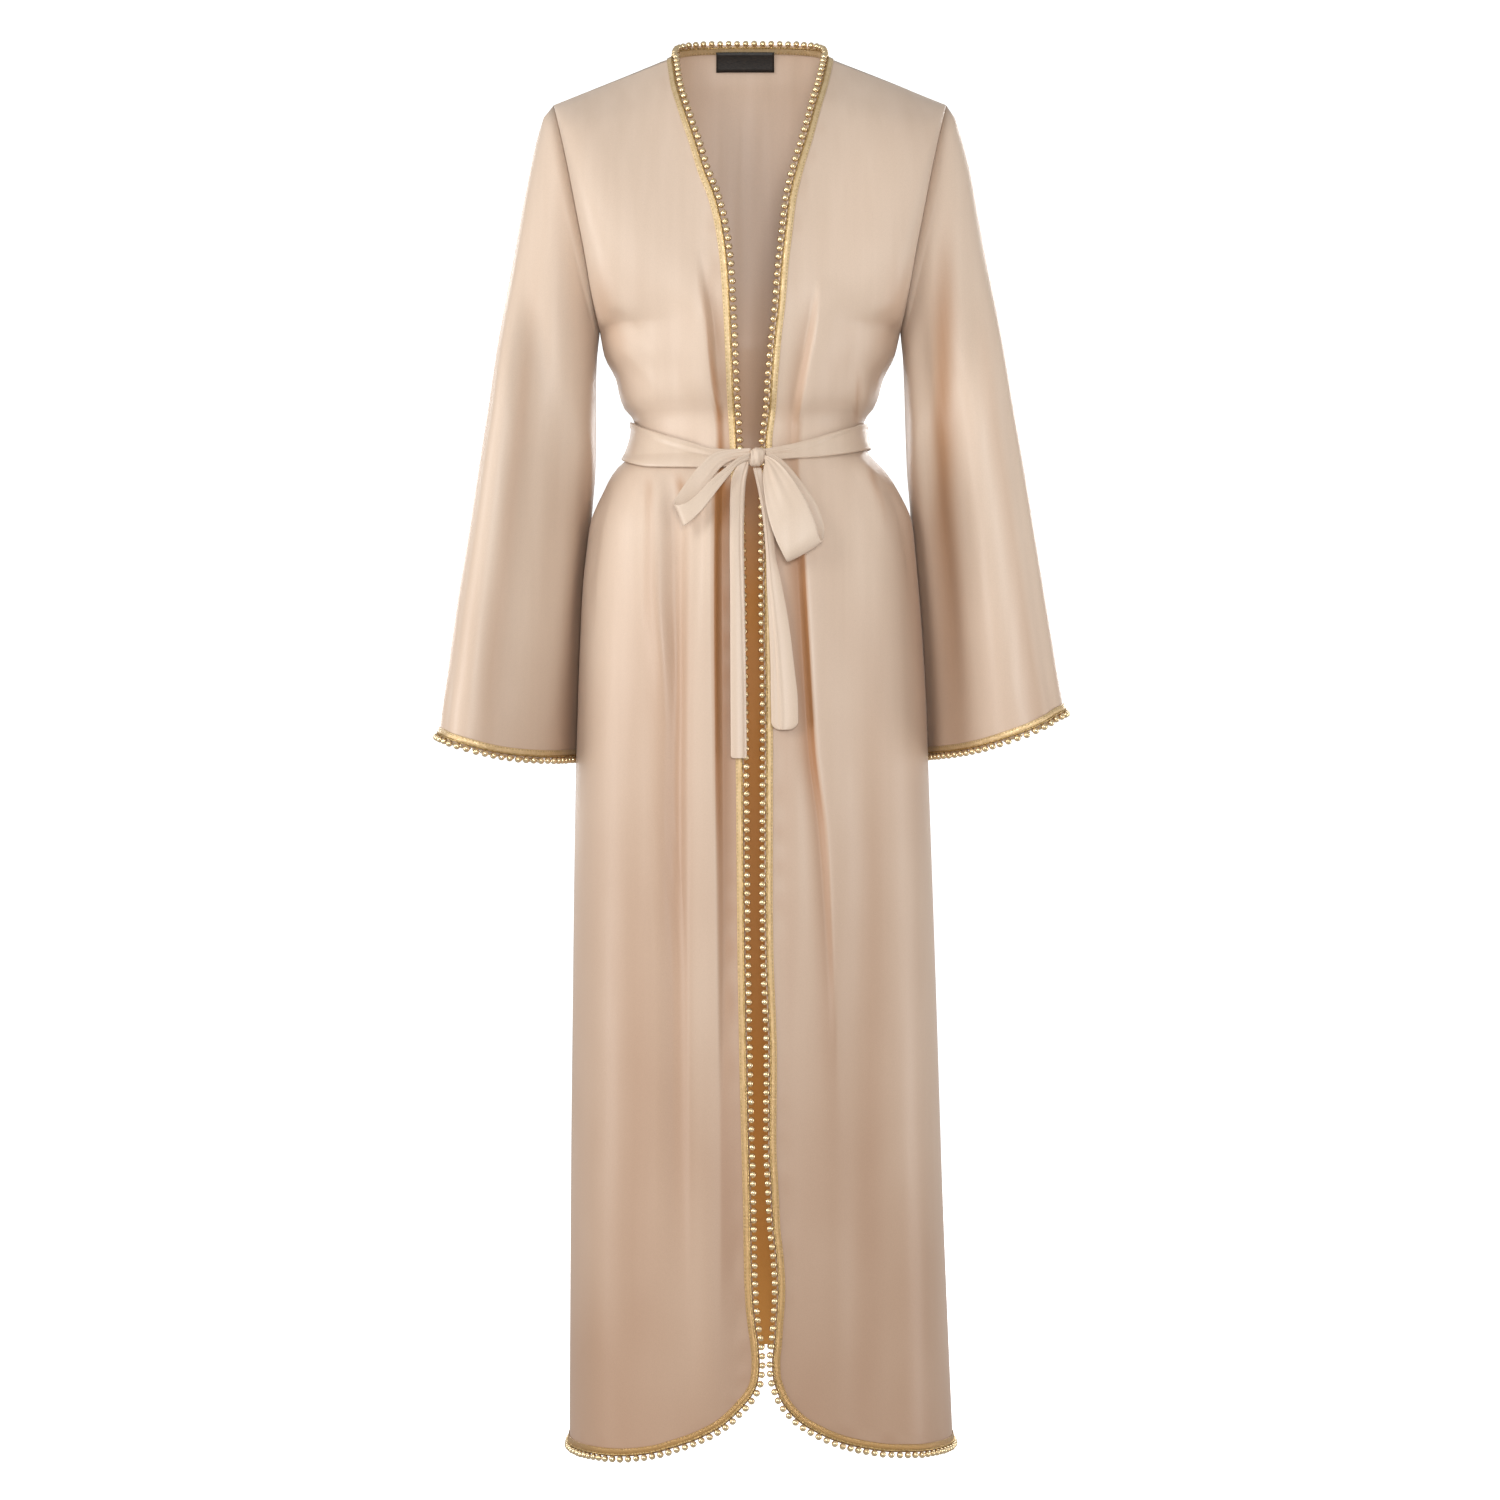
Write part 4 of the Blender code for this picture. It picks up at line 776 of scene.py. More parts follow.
def front_hem(side, hem, last):
    """Rows of a front beside and under its rounded corner, and the points along its hem.

    The rows lie between the last angles above, the hem's foot, the side seam and the tape's foot
    down the corner. Points are angle and height here, with the angle scaled to millimetres where
    lengths count.
    """
    width = float(half_width(side, hem[:, 1]).mean())
    ruler = np.stack([front_angle(side, hem[:, 0], hem[:, 1]), hem[:, 1]], -1) * np.array([width, 1.0])
    knots = np.column_stack([np.linspace(0, 1, len(ruler)), ruler])
    fine = np.linspace(0, 1, 200)
    ruler = np.stack([smooth(knots, 1, fine), smooth(knots, 2, fine)], -1)
    length = float(np.linalg.norm(np.diff(ruler, axis=0), axis=1).sum())
    corner = length * CORNER_CUT
    fraction = last / last[-1]
    ends, right = rim_at(ruler, length, corner * np.arange(CORNER_ROWS + 1) / CORNER_ROWS)
    fringe, low = rim_at(ruler, length, corner + (length - corner) * (1 - fraction))
    right[0] = (last[-1] * width, HEM_TOP)
    low[0, 0] = 0.0
    ends, right, fringe, low = (line * np.array([1 / width, 1.0]) for line in (ends, right, fringe, low))
    up = np.stack([last, np.full(len(last), HEM_TOP)], -1)
    g = fraction[:, None]
    rows = []
    for k in range(1, CORNER_ROWS + 1):
        f = k / CORNER_ROWS
        left = up[0] + (low[0] - up[0]) * f
        mix = (1 - f) * up + f * low + (1 - g) * left + g * right[k]
        mix -= (1 - f) * ((1 - g) * up[0] + g * up[-1]) + f * ((1 - g) * low[0] + g * low[-1])
        row = front_point(side, mix[:, 0], mix[:, 1])
        rows.append(np.vstack([row, front_point(side, ends[k, 0], ends[k, 1])[None]]))
    return rows, front_point(side, fringe[:-1, 0], fringe[:-1, 1])


def front_panel(side, lines, shares, edge, hem, folds, wrinkles, tones, seed):
    """Points, quads and normals of one front, the points along its tape's two sides, and its painted shade.
    """
    rows = []
    for z in np.linspace(ARMPIT, HEM_TOP, BODY_ROWS):
        row = front_point(side, np.array(front_columns(side, z, lines, shares, edge)), z)
        end = front_point(side, front_angle(side, smooth(edge, 1, z), z), z)
        rows.append(np.vstack([row, end[None]]))
    bottom = rows[0]
    share = (bottom[:, 0] - bottom[0, 0]) / (bottom[-1, 0] - bottom[0, 0])
    yoke = front_yoke(side, bottom, share, edge)
    hem_rows, below = front_hem(side, hem, np.array(front_columns(side, HEM_TOP, lines, shares, edge)))
    rows = yoke + rows + hem_rows
    columns, count = len(bottom), len(rows)
    points = np.concatenate(rows + [below])
    quads = grid_quads(count, columns)
    start, base = count * columns, (count - 1) * columns
    for j in range(columns - 2):
        there = start + j + 1 if j < columns - 3 else base + columns - 1
        quads.append((base + j, start + j, there, base + j + 1))
    back_along = range(columns - 3, -1, -1)
    outside = [i * columns + columns - 1 for i in range(count)] + [start + j for j in back_along]
    inside = [i * columns + columns - 2 for i in range(count)] + [base + j for j in back_along]
    fixed = {i * columns: (side, 0, 0) for i in range(len(yoke), count + 1)}  # the side seam
    fixed.update({j: (0, 0, 1) for j in range(columns)})  # the shoulder seam
    points[list(fixed), 1] -= SEAM
    if side > 0:
        quads = flip(quads)
    points = points + settled(points, quads, fixed) * front_folds(side, folds, points)[:, None]
    x, z = points[:, 0], points[:, 2]
    extra = creases(wrinkles, x, z)
    # Small gathers where the tape pulls the cloth in, and a soft waviness everywhere.
    rim = np.array(points[outside])
    far, place = nearest(x, z, rim[:, [0, 2]])
    run = np.interp(place, range(len(rim)), lengths(rim))
    gather = np.sin(run / 7.1 + 1.9 * np.sin(run / 37 + seed)) * (0.55 + 0.45 * np.sin(run / 53 + 2 * seed))
    extra += 0.42 * gather * bump((np.abs(far) - 15) / 13)
    calm = 1 - 0.75 * bump((z + 392) / 60)
    extra += 0.42 * ripple(x, z, (16, 90), seed) * calm
    rim_calm = np.clip(np.abs(far) / 9 - 0.6, 0, 1)
    seam = np.clip(np.minimum((150 - np.abs(x)) / 12 + 1.5, 1), 0.35, 1)
    # Painted shade: deep in the folds, and a little in the gathers beside the tape.
    tone = np.clip(front_folds(side, tones, points) + 0.10 * gather * bump((np.abs(far) - 13) / 9), 0, 1)
    points = points + settled(points, quads, fixed) * (extra * rim_calm * seam)[:, None]
    return points, quads, settled(points, quads, fixed), outside, inside, tone


def neck_curve(share):
    """The back's top line: shoulder seam, back neck, shoulder seam, for a share of 0 to 1."""
    tip, neck = ARMHOLE[-1], np.array([NECK_HALF, 0, 0])
    seam = np.array([tip[1], 0, tip[2]])
    out = []
    for s in np.atleast_1d(share):
        side = -1 if s < 0.5 else 1
        near = min(s, 1 - s)
        if near <= NECK_SHARE:
            p = (seam + (neck - seam) * near / NECK_SHARE) * np.array([side, 1, 1])
        else:
            turn = (s - NECK_SHARE) / (1 - 2 * NECK_SHARE) * math.pi
            across = math.copysign(abs(math.cos(turn)) ** (2 / NECK_POWER), 1)
            deep = math.sin(turn) ** (2 / NECK_POWER)
            p = np.array([side * NECK_HALF * across, NECK_DEPTH * deep, NECK_RISE * deep ** 0.8])
        out.append(p)
    return np.array(out)


def back_yoke(level, share):
    """A row of the back above the armpit, at shares of its columns."""
    bottom = back_point(share * math.pi, np.full(len(share), ARMPIT))
    row = bottom + (neck_curve(share) - bottom) * level
    hole = [smooth(ARMHOLE, k, level) for k in (1, 2, 3)]
    turn = 1 - (1 - level ** 3) ** 0.6
    row[:, 1] = bottom[:, 1] + (neck_curve(share)[:, 1] - bottom[:, 1]) * turn
    tip = ARMHOLE[-1]
    for side, width, near in ((-1, BODY[0, 1], share), (1, BODY[0, 2], 1 - share)):
        low = np.array([side * width, 0, ARMPIT])
        high = np.array([side * tip[1], 0, tip[2]])
        outer = np.array([side * hole[0], hole[2], hole[1]])
        row += (outer - low - (high - low) * level) * (np.clip(1 - near / 0.42, 0, 1) ** 2)[:, None]
    soft = row.copy()
    for _ in range(YOKE_ROUNDS):
        soft[1:-1] += (soft[:-2] + soft[2:] - 2 * soft[1:-1]) * 0.22
    return row + (soft - row) * min(max((0.96 - level) / 0.08, 0), 1)


def back_panel():
    """Points, quads and normals of the back, its number of columns, and those of its neck."""
    share = np.concatenate([
        np.linspace(0, NECK_SHARE, SHOULDER_COLUMNS)[:-1],
        np.linspace(NECK_SHARE, 1 - NECK_SHARE, NECK_COLUMNS),
        np.linspace(1 - NECK_SHARE, 1, SHOULDER_COLUMNS)[1:],
    ])
    angles = share * math.pi
    rows = [back_yoke(level, share) for level in fine_levels(YOKE_PARTS)]
    yoke = len(rows)
    for z in np.linspace(ARMPIT, HEM_TOP, BODY_ROWS):
        rows.append(back_point(angles, np.full(len(angles), float(z))))
    hem = BACK_HEM_SIDE + BACK_HEM_RISE * np.sin(angles) ** 2
    for f in np.linspace(0, 1, HEM_ROWS)[1:]:
        rows.append(back_point(angles, HEM_TOP + (hem + TAPE_WIDTH - HEM_TOP) * f))
    rows.append(back_point(angles, hem))
    columns, count = len(share), len(rows)
    points = np.concatenate(rows)
    quads = flip(grid_quads(count, columns))
    fixed = {i * columns + j: (side, 0, 0) for i in range(yoke, count)
             for j, side in ((0, -1), (columns - 1, 1))}
    fixed.update({j: (0, 0, 1) for j in range(columns) if min(share[j], 1 - share[j]) <= NECK_SHARE + 1e-6})
    points[list(fixed), 1] += SEAM
    degrees = np.tile(np.degrees(angles), count)
    points = points + settled(points, quads, fixed) * round_folds(FOLDS_BACK, degrees, points[:, 2])[:, None]
    z = points[:, 2]
    round_mm = degrees / 180 * BACK_ROUND
    extra = 0.45 * ripple(round_mm, z, (17, 95), 3.3) * (1 - 0.8 * bump((z + 380) / 60))
    extra *= np.clip((count * columns - np.arange(len(points))) / (6 * columns), 0, 1)
    extra *= np.clip(np.arange(len(points)) / (12 * columns), 0, 1)
    extra *= np.clip(np.minimum(degrees, 180 - degrees) / 6, 0.2, 1)
    points = points + settled(points, quads, fixed) * extra[:, None]
    neck = [j for j in range(columns) if min(share[j], 1 - share[j]) >= NECK_SHARE - 1e-6]
    return points, quads, settled(points, quads, fixed), columns, neck


def ring_point(inner, outer, half_depth, middle, angle, sag, turn):
    """A point of a sleeve's ring; the angle is 0 at the armpit side, 90 in front."""
    centre, arm = (inner + outer) / 2, (inner - outer) / 2
    x, z = centre + arm * math.cos(angle)
    front = -math.copysign(abs(math.sin(angle)) ** 0.92, math.sin(angle))
    back = turn * math.cos(angle)
    return np.array([x, middle + back + front * half_depth, z - sag * math.sin(angle) ** 2])


def sleeve(side, table, folds, tones, seed):
    """Points, quads, normals, columns and painted shade of a sleeve: rings from the armhole to the cuff."""
    around = []
    for low, high in zip(ARMHOLE[:-1, 0], ARMHOLE[1:, 0]):
        around += [low + (high - low) * k / YOKE_PARTS for k in range(YOKE_PARTS)]
    around = np.array(around + [2 - s for s in [1.0] + around[:0:-1]])
    away = np.array([side * 0.978, 0, -0.209]) * ARMHOLE_SEAM
    first = []
    for s in around:
        level = s if s <= 1 else 2 - s
        x, z, depth = (smooth(ARMHOLE, c, level) for c in (1, 2, 3))
        first.append(np.array([side * x, -depth if s <= 1 else depth, z]) + away)
    rings, shares = [np.array(first)], [0.0]
    tape_level = 1 - TAPE_WIDTH / SLEEVE_LENGTH
    for level in list(np.linspace(table[0, 0], 0.975, SLEEVE_RINGS)) + [tape_level, 1.0]:
        ix, iz, ox, oz, half = (smooth(table, c, level) for c in range(1, 6))
        if level == tape_level:
            ix, iz, ox, oz, half = (table[-1, c] for c in range(1, 6))
            iz, oz, ox = iz + TAPE_WIDTH, oz + TAPE_WIDTH, ox - 0.2 * TAPE_WIDTH
        inner, outer = np.array([side * ix, iz]), np.array([side * ox, oz])
        sag = CUFF_SAG * level ** 2 * min(1.0, level / 0.2)
        turn = SLEEVE_TURN * ease((level - 0.28) / 0.24)
        rings.append(np.array([
            ring_point(inner, outer, half, SLEEVE_BACKSET * level, s * math.pi, sag, turn) for s in around]))
        shares.append(level)
    columns, count = len(around), len(rings)
    points = np.concatenate(rings)
    quads = grid_quads(count, columns, closed=True)
    if side < 0:
        quads = flip(quads)
    degrees = np.tile(around * 180, count)
    at = np.repeat(np.array(shares), columns)
    points = points + normals_of(points, quads) * round_folds(folds, degrees, at)[:, None]
    # Painted shade in the sleeve's folds.
    tone = np.clip(round_folds(tones, degrees, at), 0, 1)
    turn = degrees / 180 * SLEEVE_ROUND
    extra = 0.5 * ripple(turn, at * SLEEVE_LENGTH, (15, 70), seed)
    cuff_gather = np.sin(turn / 8.2 + 1.7 * np.sin(turn / 31 + seed)) * bump((at - 0.955) / 0.05)
    extra = (extra + 0.5 * cuff_gather) * np.clip(at / 0.12, 0, 1) * np.clip((1 - at) / 0.02, 0, 1)
    points = points + normals_of(points, quads) * extra[:, None]
    normals = normals_of(points, quads)
    axis = away / np.linalg.norm(away)
    rim = normals[:columns] - np.outer(normals[:columns] @ axis, axis)
    normals[:columns] = rim / np.linalg.norm(rim, axis=1)[:, None]
    return points, quads, normals, columns, tone


def body_at(turn, z):
    """A point of the body's plain section; the turn is as in the belt's table."""
    if turn <= 90:
        return front_point(-1, math.radians(90 - turn), z)
    if turn >= 270:
        return front_point(1, math.radians(turn - 270), z)
    return back_point(math.radians(turn - 90), z)


def belt_band():
    """The belt round the waist, from one side of the knot to the other, with its long folds."""
    turns = np.concatenate([np.linspace(-2, 90, 60)[:-1], np.linspace(90, 270, 90),
                            np.linspace(270, 357, 60)[1:]])
    across = np.linspace(0, 1, BAND_ACROSS)
    points, uv, run, previous = [], [], 0.0, None
    for turn in turns:
        top, bottom = smooth(BELT, 1, turn), smooth(BELT, 2, turn)
        middle = body_at(turn, (top + bottom) / 2)
        run += 0 if previous is None else float(np.linalg.norm(middle - previous))
        previous = middle
        near = bump(turn / 40) + bump((turn - 357) / 40)
        for f in across:
            z = top + (bottom - top) * f
            low, high = (body_at(turn, z + step) for step in (-1.0, 1.0))
            point = body_at(turn, z)
            beside = body_at(turn + 0.5, z) - body_at(turn - 0.5, z)
            normal = np.cross(high - low, beside)
            normal /= np.linalg.norm(normal)
            if normal[0] * point[0] + normal[1] * point[1] < 0:
                normal = -normal
            crown = BELT_CROWN * (1 - (2 * f - 1) ** 2)
            line = 0.24 + 0.05 * math.sin(turn / 17)
            crown += 0.55 * float(bump((f - line + 0.09) / 0.1)) - 0.5 * float(bump((f - line) / 0.07))
            crown += 0.35 * near * math.sin(f * 19 + turn / 9)
            if turn > 270:
                slant = f - 0.05 - 0.62 * (turn - 296) / 61
                crown += 0.9 * float(bump((slant + 0.16) / 0.2)) - 0.7 * float(bump(slant / 0.08))
            if turn < 90:
                slant = f - 0.12 - 0.5 * (62 - turn) / 62
                crown += 0.6 * float(bump((slant + 0.14) / 0.16)) - 0.5 * float(bump(slant / 0.08))
            points.append((point, normal, BELT_LIFT + crown))
            uv.append((run / 10, f))
    inner = np.array([p + n * lift for p, n, lift in points])
    outer = np.array([p + n * (lift + BELT_WALL) for p, n, lift in points])
    return outer, inner, grid_quads(len(turns), len(across)), np.array(uv)


def loop(table, gathers, belly):
    """Outer and inner points of a strip of cloth between the two edges in a table."""
    steps, across = LOOP_GRID
    middle = (table[:, :3] + table[:, 3:]) / 2
    run = lengths(middle)
    keyed = np.column_stack([run, table])
    at = np.linspace(0, run[-1], steps)
    upper = np.stack([smooth(keyed, k, at) for k in (1, 2, 3)], -1)
    lower = np.stack([smooth(keyed, k, at) for k in (4, 5, 6)], -1)
    for line in (upper, lower):
        for _ in range(10):
            line[1:-1] += (line[:-2] + line[2:] - 2 * line[1:-1]) * 0.25
    share = np.linspace(0, 1, across)
    points = (upper[:, None] + (lower - upper)[:, None] * share[None, :, None]).reshape(-1, 3)
    quads = grid_quads(steps, across)
    normals = normals_of(points, quads)
    place = np.repeat(at / run[-1], across)
    f = np.tile(share, steps)
    ends = np.clip(1 - np.minimum(place, 1 - place) / 0.34, 0, 1)
    width = np.repeat(np.linalg.norm(lower - upper, axis=1), across)
    wave = gathers * ends ** 1.2 * (np.sin(f * 11 + 3 * place) + 0.5 * np.sin(f * 23 - 4 * place))
    wave *= np.clip(width / 22, 0.25, 1)
    wave += belly * np.sin(np.pi * f) * np.sin(np.pi * place) ** 2
    points = points + normals * wave[:, None]
    normals = normals_of(points, quads)
    half = (BELT_WALL / 2 * (1 - 0.55 * np.abs(2 * f - 1) ** 6))[:, None]
    uv = np.stack([np.repeat(at / 10, across), f], -1)
    return points + normals * half, points - normals * half, quads, uv


def tail(table, fold, corner):
    """A hanging end of the belt: it follows the front under it, a little way off."""
    steps, across = TAIL_GRID
    low = table[-1, 1]
    tip = low + corner * (1 - np.sin(np.linspace(0, math.pi / 2, 12)))
    heights = np.concatenate([np.linspace(table[0, 1], low + corner, steps)[:-1], tip])
    rows = table[:, [1, 0, 2]]
    outer, inner, uv = [], [], []
    for z in heights:
        middle, width = smooth(rows, 1, z), smooth(rows, 2, z)
        into = max(0.0, low + corner - z)
        width -= 1.7 * (corner - math.sqrt(max(corner ** 2 - into ** 2, 0.0)))
        for f in np.linspace(-0.5, 0.5, across):
            x = middle + width * f
            crown = 1.5 * (1 - (2 * f) ** 2)
            start = np.interp(z, (-450, table[0, 1]), (0, 1))
            depth = -smooth(BODY, 3, z) - TAIL_LIFT - crown
            depth += (KNOT_AT[1] + 1.5 - depth) * start
            line = fold + 0.06 * math.sin(z / 60)
            depth -= 0.8 * float(bump((f - line - 0.1) / 0.12)) - 0.8 * float(bump((f - line) / 0.09))
            edge = 1 - 0.5 * (2 * abs(f)) ** 6
            inner.append((x, depth - TAIL_WALL * (1 - edge) / 2, z))
            outer.append((x, depth - TAIL_WALL * (1 + edge) / 2, z))
            uv.append((-z / 10, f + 0.5))
    return np.array(outer), np.array(inner), grid_quads(len(heights), across), np.array(uv)


def knot():
    """The knot: a small ball of cloth with the creases of its wrap."""
    rows, columns = KNOT_GRID
    points, uv = [], []
    for i in range(rows):
        tilt = math.pi * (i + 0.5) / rows
        for j in range(columns):
            turn = math.tau * j / columns
            x, y, z = math.sin(tilt) * math.cos(turn), math.sin(tilt) * math.sin(turn), math.cos(tilt)
            waist = 1 - 0.10 * (1 - z * z)
            wide = 1.16 * math.copysign(abs(x) ** 0.8, x)
            crease = 0.05 * math.sin(x * 9 + z * 2.2 + 0.6) + 0.03 * math.sin(x * 17 - z * 2)
            crease -= 0.13 * float(bump((x * 0.9 + z * 0.35 + 0.25) / 0.13))
            size = waist * (0.97 + crease * math.sin(tilt))
            points.append((
                KNOT_AT[0] + wide * KNOT_RADII[0] * size + 1.2 * z,
                KNOT_AT[1] + y * KNOT_RADII[1] * size,
                KNOT_AT[2] + math.copysign(abs(z) ** 0.85, z) * KNOT_RADII[2] * (0.97 + 0.3 * crease),
            ))
            uv.append((2.4 * j / columns, i / rows))
    faces = grid_quads(rows, columns, closed=True)
    faces += [tuple(range(columns)), tuple((rows - 1) * columns + j for j in reversed(range(columns)))]
    return points, faces, uv


def put(tree, node, inputs):
    """Set a node's inputs, by name or number; the output of another node is linked in."""
    for key, value in dict(inputs).items():
        if isinstance(value, bpy.types.NodeSocket):
            tree.links.new(value, node.inputs[key])
        else:
            node.inputs[key].default_value = value
    return node


def add_node(tree, kind, inputs=(), **settings):
    node = tree.nodes.new(kind)
    for key, value in settings.items():
        setattr(node, key, value)
    return put(tree, node, inputs)


def new_material(name, rough, metallic=0.0, sheen=0.0, specular=0.5):
    material = bpy.data.materials.new(name)
    material.use_nodes = True
    tree = material.node_tree
    shader = put(tree, tree.nodes["Principled BSDF"], {
        "Metallic": metallic, "Roughness": rough, "Sheen Weight": sheen, "Sheen Roughness": 0.4,
        "Sheen Tint": (1.0, 0.93, 0.85, 1.0), "Specular IOR Level": specular})
    return material, tree, shader


def noise_of(tree, place, scale, detail=3.0):
    """Noise over the object's own coordinates, stretched by a scale."""
    spread = add_node(tree, "ShaderNodeMapping", {"Vector": place.outputs["Object"], "Scale": scale})
    return add_node(tree, "ShaderNodeTexNoise", {
        "Vector": spread.outputs["Vector"], "Scale": 1.0, "Detail": detail}).outputs["Fac"]


def map_range(tree, source, low, high, to_low=0.0, to_high=1.0):
    return add_node(tree, "ShaderNodeMapRange", {
        "Value": source, "From Min": low, "From Max": high, "To Min": to_low,
        "To Max": to_high}).outputs["Result"]


def height_of(tree, place, top, bottom):
    """0 at one height and above, 1 at another and below."""
    xyz = add_node(tree, "ShaderNodeSeparateXYZ", {"Vector": place.outputs["Object"]})
    return map_range(tree, xyz.outputs["Z"], top, bottom)


def mix_colours(tree, factor, first, second, blend="MIX"):
    first, second = ((*value, 1.0) if isinstance(value, tuple) else value for value in (first, second))
    return add_node(tree, "ShaderNodeMix", {0: factor, 6: first, 7: second}, data_type="RGBA",
                    blend_type=blend).outputs[2]


def math_node(tree, operation, *values):
    return add_node(tree, "ShaderNodeMath", enumerate(values), operation=operation).outputs[0]


def relief(tree, height, strength, distance, under=None):
    """A bump, on top of another one if that is given."""
    node = add_node(tree, "ShaderNodeBump", {"Height": height, "Strength": strength, "Distance": distance})
    return put(tree, node, {} if under is None else {"Normal": under}).outputs["Normal"]


def satin(name, light, dark, low, heights, rough=0.42, emission=0.0):
    """Smooth woven satin: long faint streaks, a fine weave, painted shade lower down and in the folds."""
    material, tree, shader = new_material(name, rough, sheen=0.12, specular=0.35)
    place = add_node(tree, "ShaderNodeTexCoord")
    streaks = noise_of(tree, place, (60, 22, 2.6))
    cloudy = noise_of(tree, place, (7, 7, 4), 2.0)
    weave = noise_of(tree, place, (1500, 1500, 900), 1.0)
    colour = mix_colours(tree, map_range(tree, streaks, 0.3, 0.7), dark, light)
    wander = map_range(tree, cloudy, 0.3, 0.7, -0.14, 0.14)
    # painted shade lower down, where the light falls off (an orange painted glow inside the back)
    colour = mix_colours(tree, math_node(tree, "ADD", height_of(tree, place, *heights), wander), colour, low)
    # painted shade at the bottom of the folds
    folds = add_node(tree, "ShaderNodeAttribute", attribute_name="fold_tone").outputs["Fac"]
    colour = mix_colours(tree, folds, colour, mix_colours(tree, 1.0, colour, PAINTED_FOLD_SHADE, "MULTIPLY"))
    fleck = map_range(tree, weave, 0.3, 0.7, 0.97, 1.03)
    grey = add_node(tree, "ShaderNodeCombineColor", {0: fleck, 1: fleck, 2: fleck}).outputs[0]
    colour = mix_colours(tree, 1.0, colour, grey, "MULTIPLY")
    put(tree, shader, {
        "Base Color": colour,
        "Roughness": map_range(tree, streaks, 0.3, 0.7, rough + 0.04, rough - 0.04),
        "Normal": relief(tree, weave, 0.25, 0.00012, relief(tree, streaks, 0.25, 0.0004)),
    })
    # painted glow: the surface gives off light of its own colour
    if emission:
        put(tree, shader, {"Emission Color": colour, "Emission Strength": emission})
    return material


def gold_tape(name, light, dark, low):
    """Woven metallic band: fine ribs across it and a line of stitches near its inner edge."""
    material, tree, shader = new_material(name, 0.38, metallic=0.45, sheen=0.1)
    place = add_node(tree, "ShaderNodeTexCoord")
    uv = add_node(tree, "ShaderNodeSeparateXYZ", {"Vector": place.outputs["UV"]})
    rib, stitch = (
        math_node(tree, "SINE", math_node(tree, "MULTIPLY", uv.outputs["X"], math.tau * 10 / pitch))
        for pitch in (1.3, 3.4))
    near = math_node(tree, "ABSOLUTE", math_node(tree, "SUBTRACT", uv.outputs["Y"], 0.83))
    dots = math_node(tree, "MULTIPLY", map_range(tree, near, 0.10, 0.04), map_range(tree, stitch, -0.2, 0.5))
    mottle = noise_of(tree, place, (260, 260, 260))
    colour = mix_colours(tree, map_range(tree, mottle, 0.3, 0.7), dark, light)
    # painted shade: the tape darkens towards the hem, where the light falls off
    colour = mix_colours(tree, height_of(tree, place, -0.45, -1.35), colour, low)
    shade = tuple(c * 0.45 for c in dark)
    raised = math_node(tree, "SUBTRACT", math_node(tree, "MULTIPLY", rib, 0.35),
                       math_node(tree, "MULTIPLY", dots, 1.2))
    put(tree, shader, {
        "Base Color": mix_colours(tree, math_node(tree, "MULTIPLY", dots, 0.55), colour, shade),
        "Roughness": map_range(tree, mottle, 0.3, 0.7, 0.46, 0.3),
        "Normal": relief(tree, raised, 0.6, 0.0003),
    })
    return material


def metal(name, light, dark, rough, size):
    """Polished or brushed metal with faint wear."""
    material, tree, shader = new_material(name, rough, metallic=0.9, specular=0.6)
    mottle = noise_of(tree, add_node(tree, "ShaderNodeTexCoord"), (size, size, size))
    put(tree, shader, {
        "Base Color": mix_colours(tree, map_range(tree, mottle, 0.35, 0.65), dark, light),
        "Roughness": map_range(tree, mottle, 0.3, 0.7, rough + 0.08, rough - 0.04),
        "Normal": relief(tree, mottle, 0.15, 0.0001),
    })
    return material


def label_cloth(name, dark, light):
    """Dark woven ribbon with fine ribs."""
    material, tree, shader = new_material(name, 0.5, sheen=0.2, specular=0.4)
    rib = noise_of(tree, add_node(tree, "ShaderNodeTexCoord"), (300, 300, 2600), 1.0)
    put(tree, shader, {
        "Base Color": mix_colours(tree, map_range(tree, rib, 0.35, 0.65), dark, light),
        "Normal": relief(tree, rib, 0.4, 0.0002),
    })
    return material


# Satins: light and dark of the streaks, the painted shade lower down (a painted glow inside the back), and
# the heights it comes in between
# Painted shade: the colour that darkens the satin at the bottom of a fold
PAINTED_FOLD_SHADE = (0.58, 0.33, 0.15)  # what the bottom of a fold multiplies the satin by
SATIN = satin("satin", (0.655, 0.515, 0.405), (0.62, 0.48, 0.37), (0.41, 0.262, 0.175), (-0.42, -1.38))
# The inside of the back: painted shade, darker than the outside, and a painted glow of its own colour, orange
# lower down where light shines through the cloth.
INSIDE_SHADE_AND_GLOW = satin("satin_inside_shade_and_glow", (0.56, 0.42, 0.32), (0.52, 0.385, 0.285), (0.68, 0.325, 0.075),
               (-0.38, -0.54), emission=0.2)
BELT_SATIN = satin("belt_satin", (0.66, 0.53, 0.42), (0.62, 0.49, 0.38), (0.58, 0.43, 0.32), (-0.5, -0.9),
                   rough=0.4)
# Gold tape: light and dark of its mottle, and its painted shade lower down
TAPE_GOLD = gold_tape("gold_tape", (0.78, 0.59, 0.34), (0.64, 0.46, 0.23), (0.40, 0.23, 0.08))
BRAID_GOLD = metal("gold_braid", (0.66, 0.47, 0.22), (0.40, 0.26, 0.10), 0.36, 500)
BEADS = metal("champagne_beads", (0.92, 0.73, 0.46), (0.74, 0.55, 0.30), 0.24, 300)
LABEL = label_cloth("label_cloth", (0.010, 0.008, 0.007), (0.030, 0.023, 0.018))

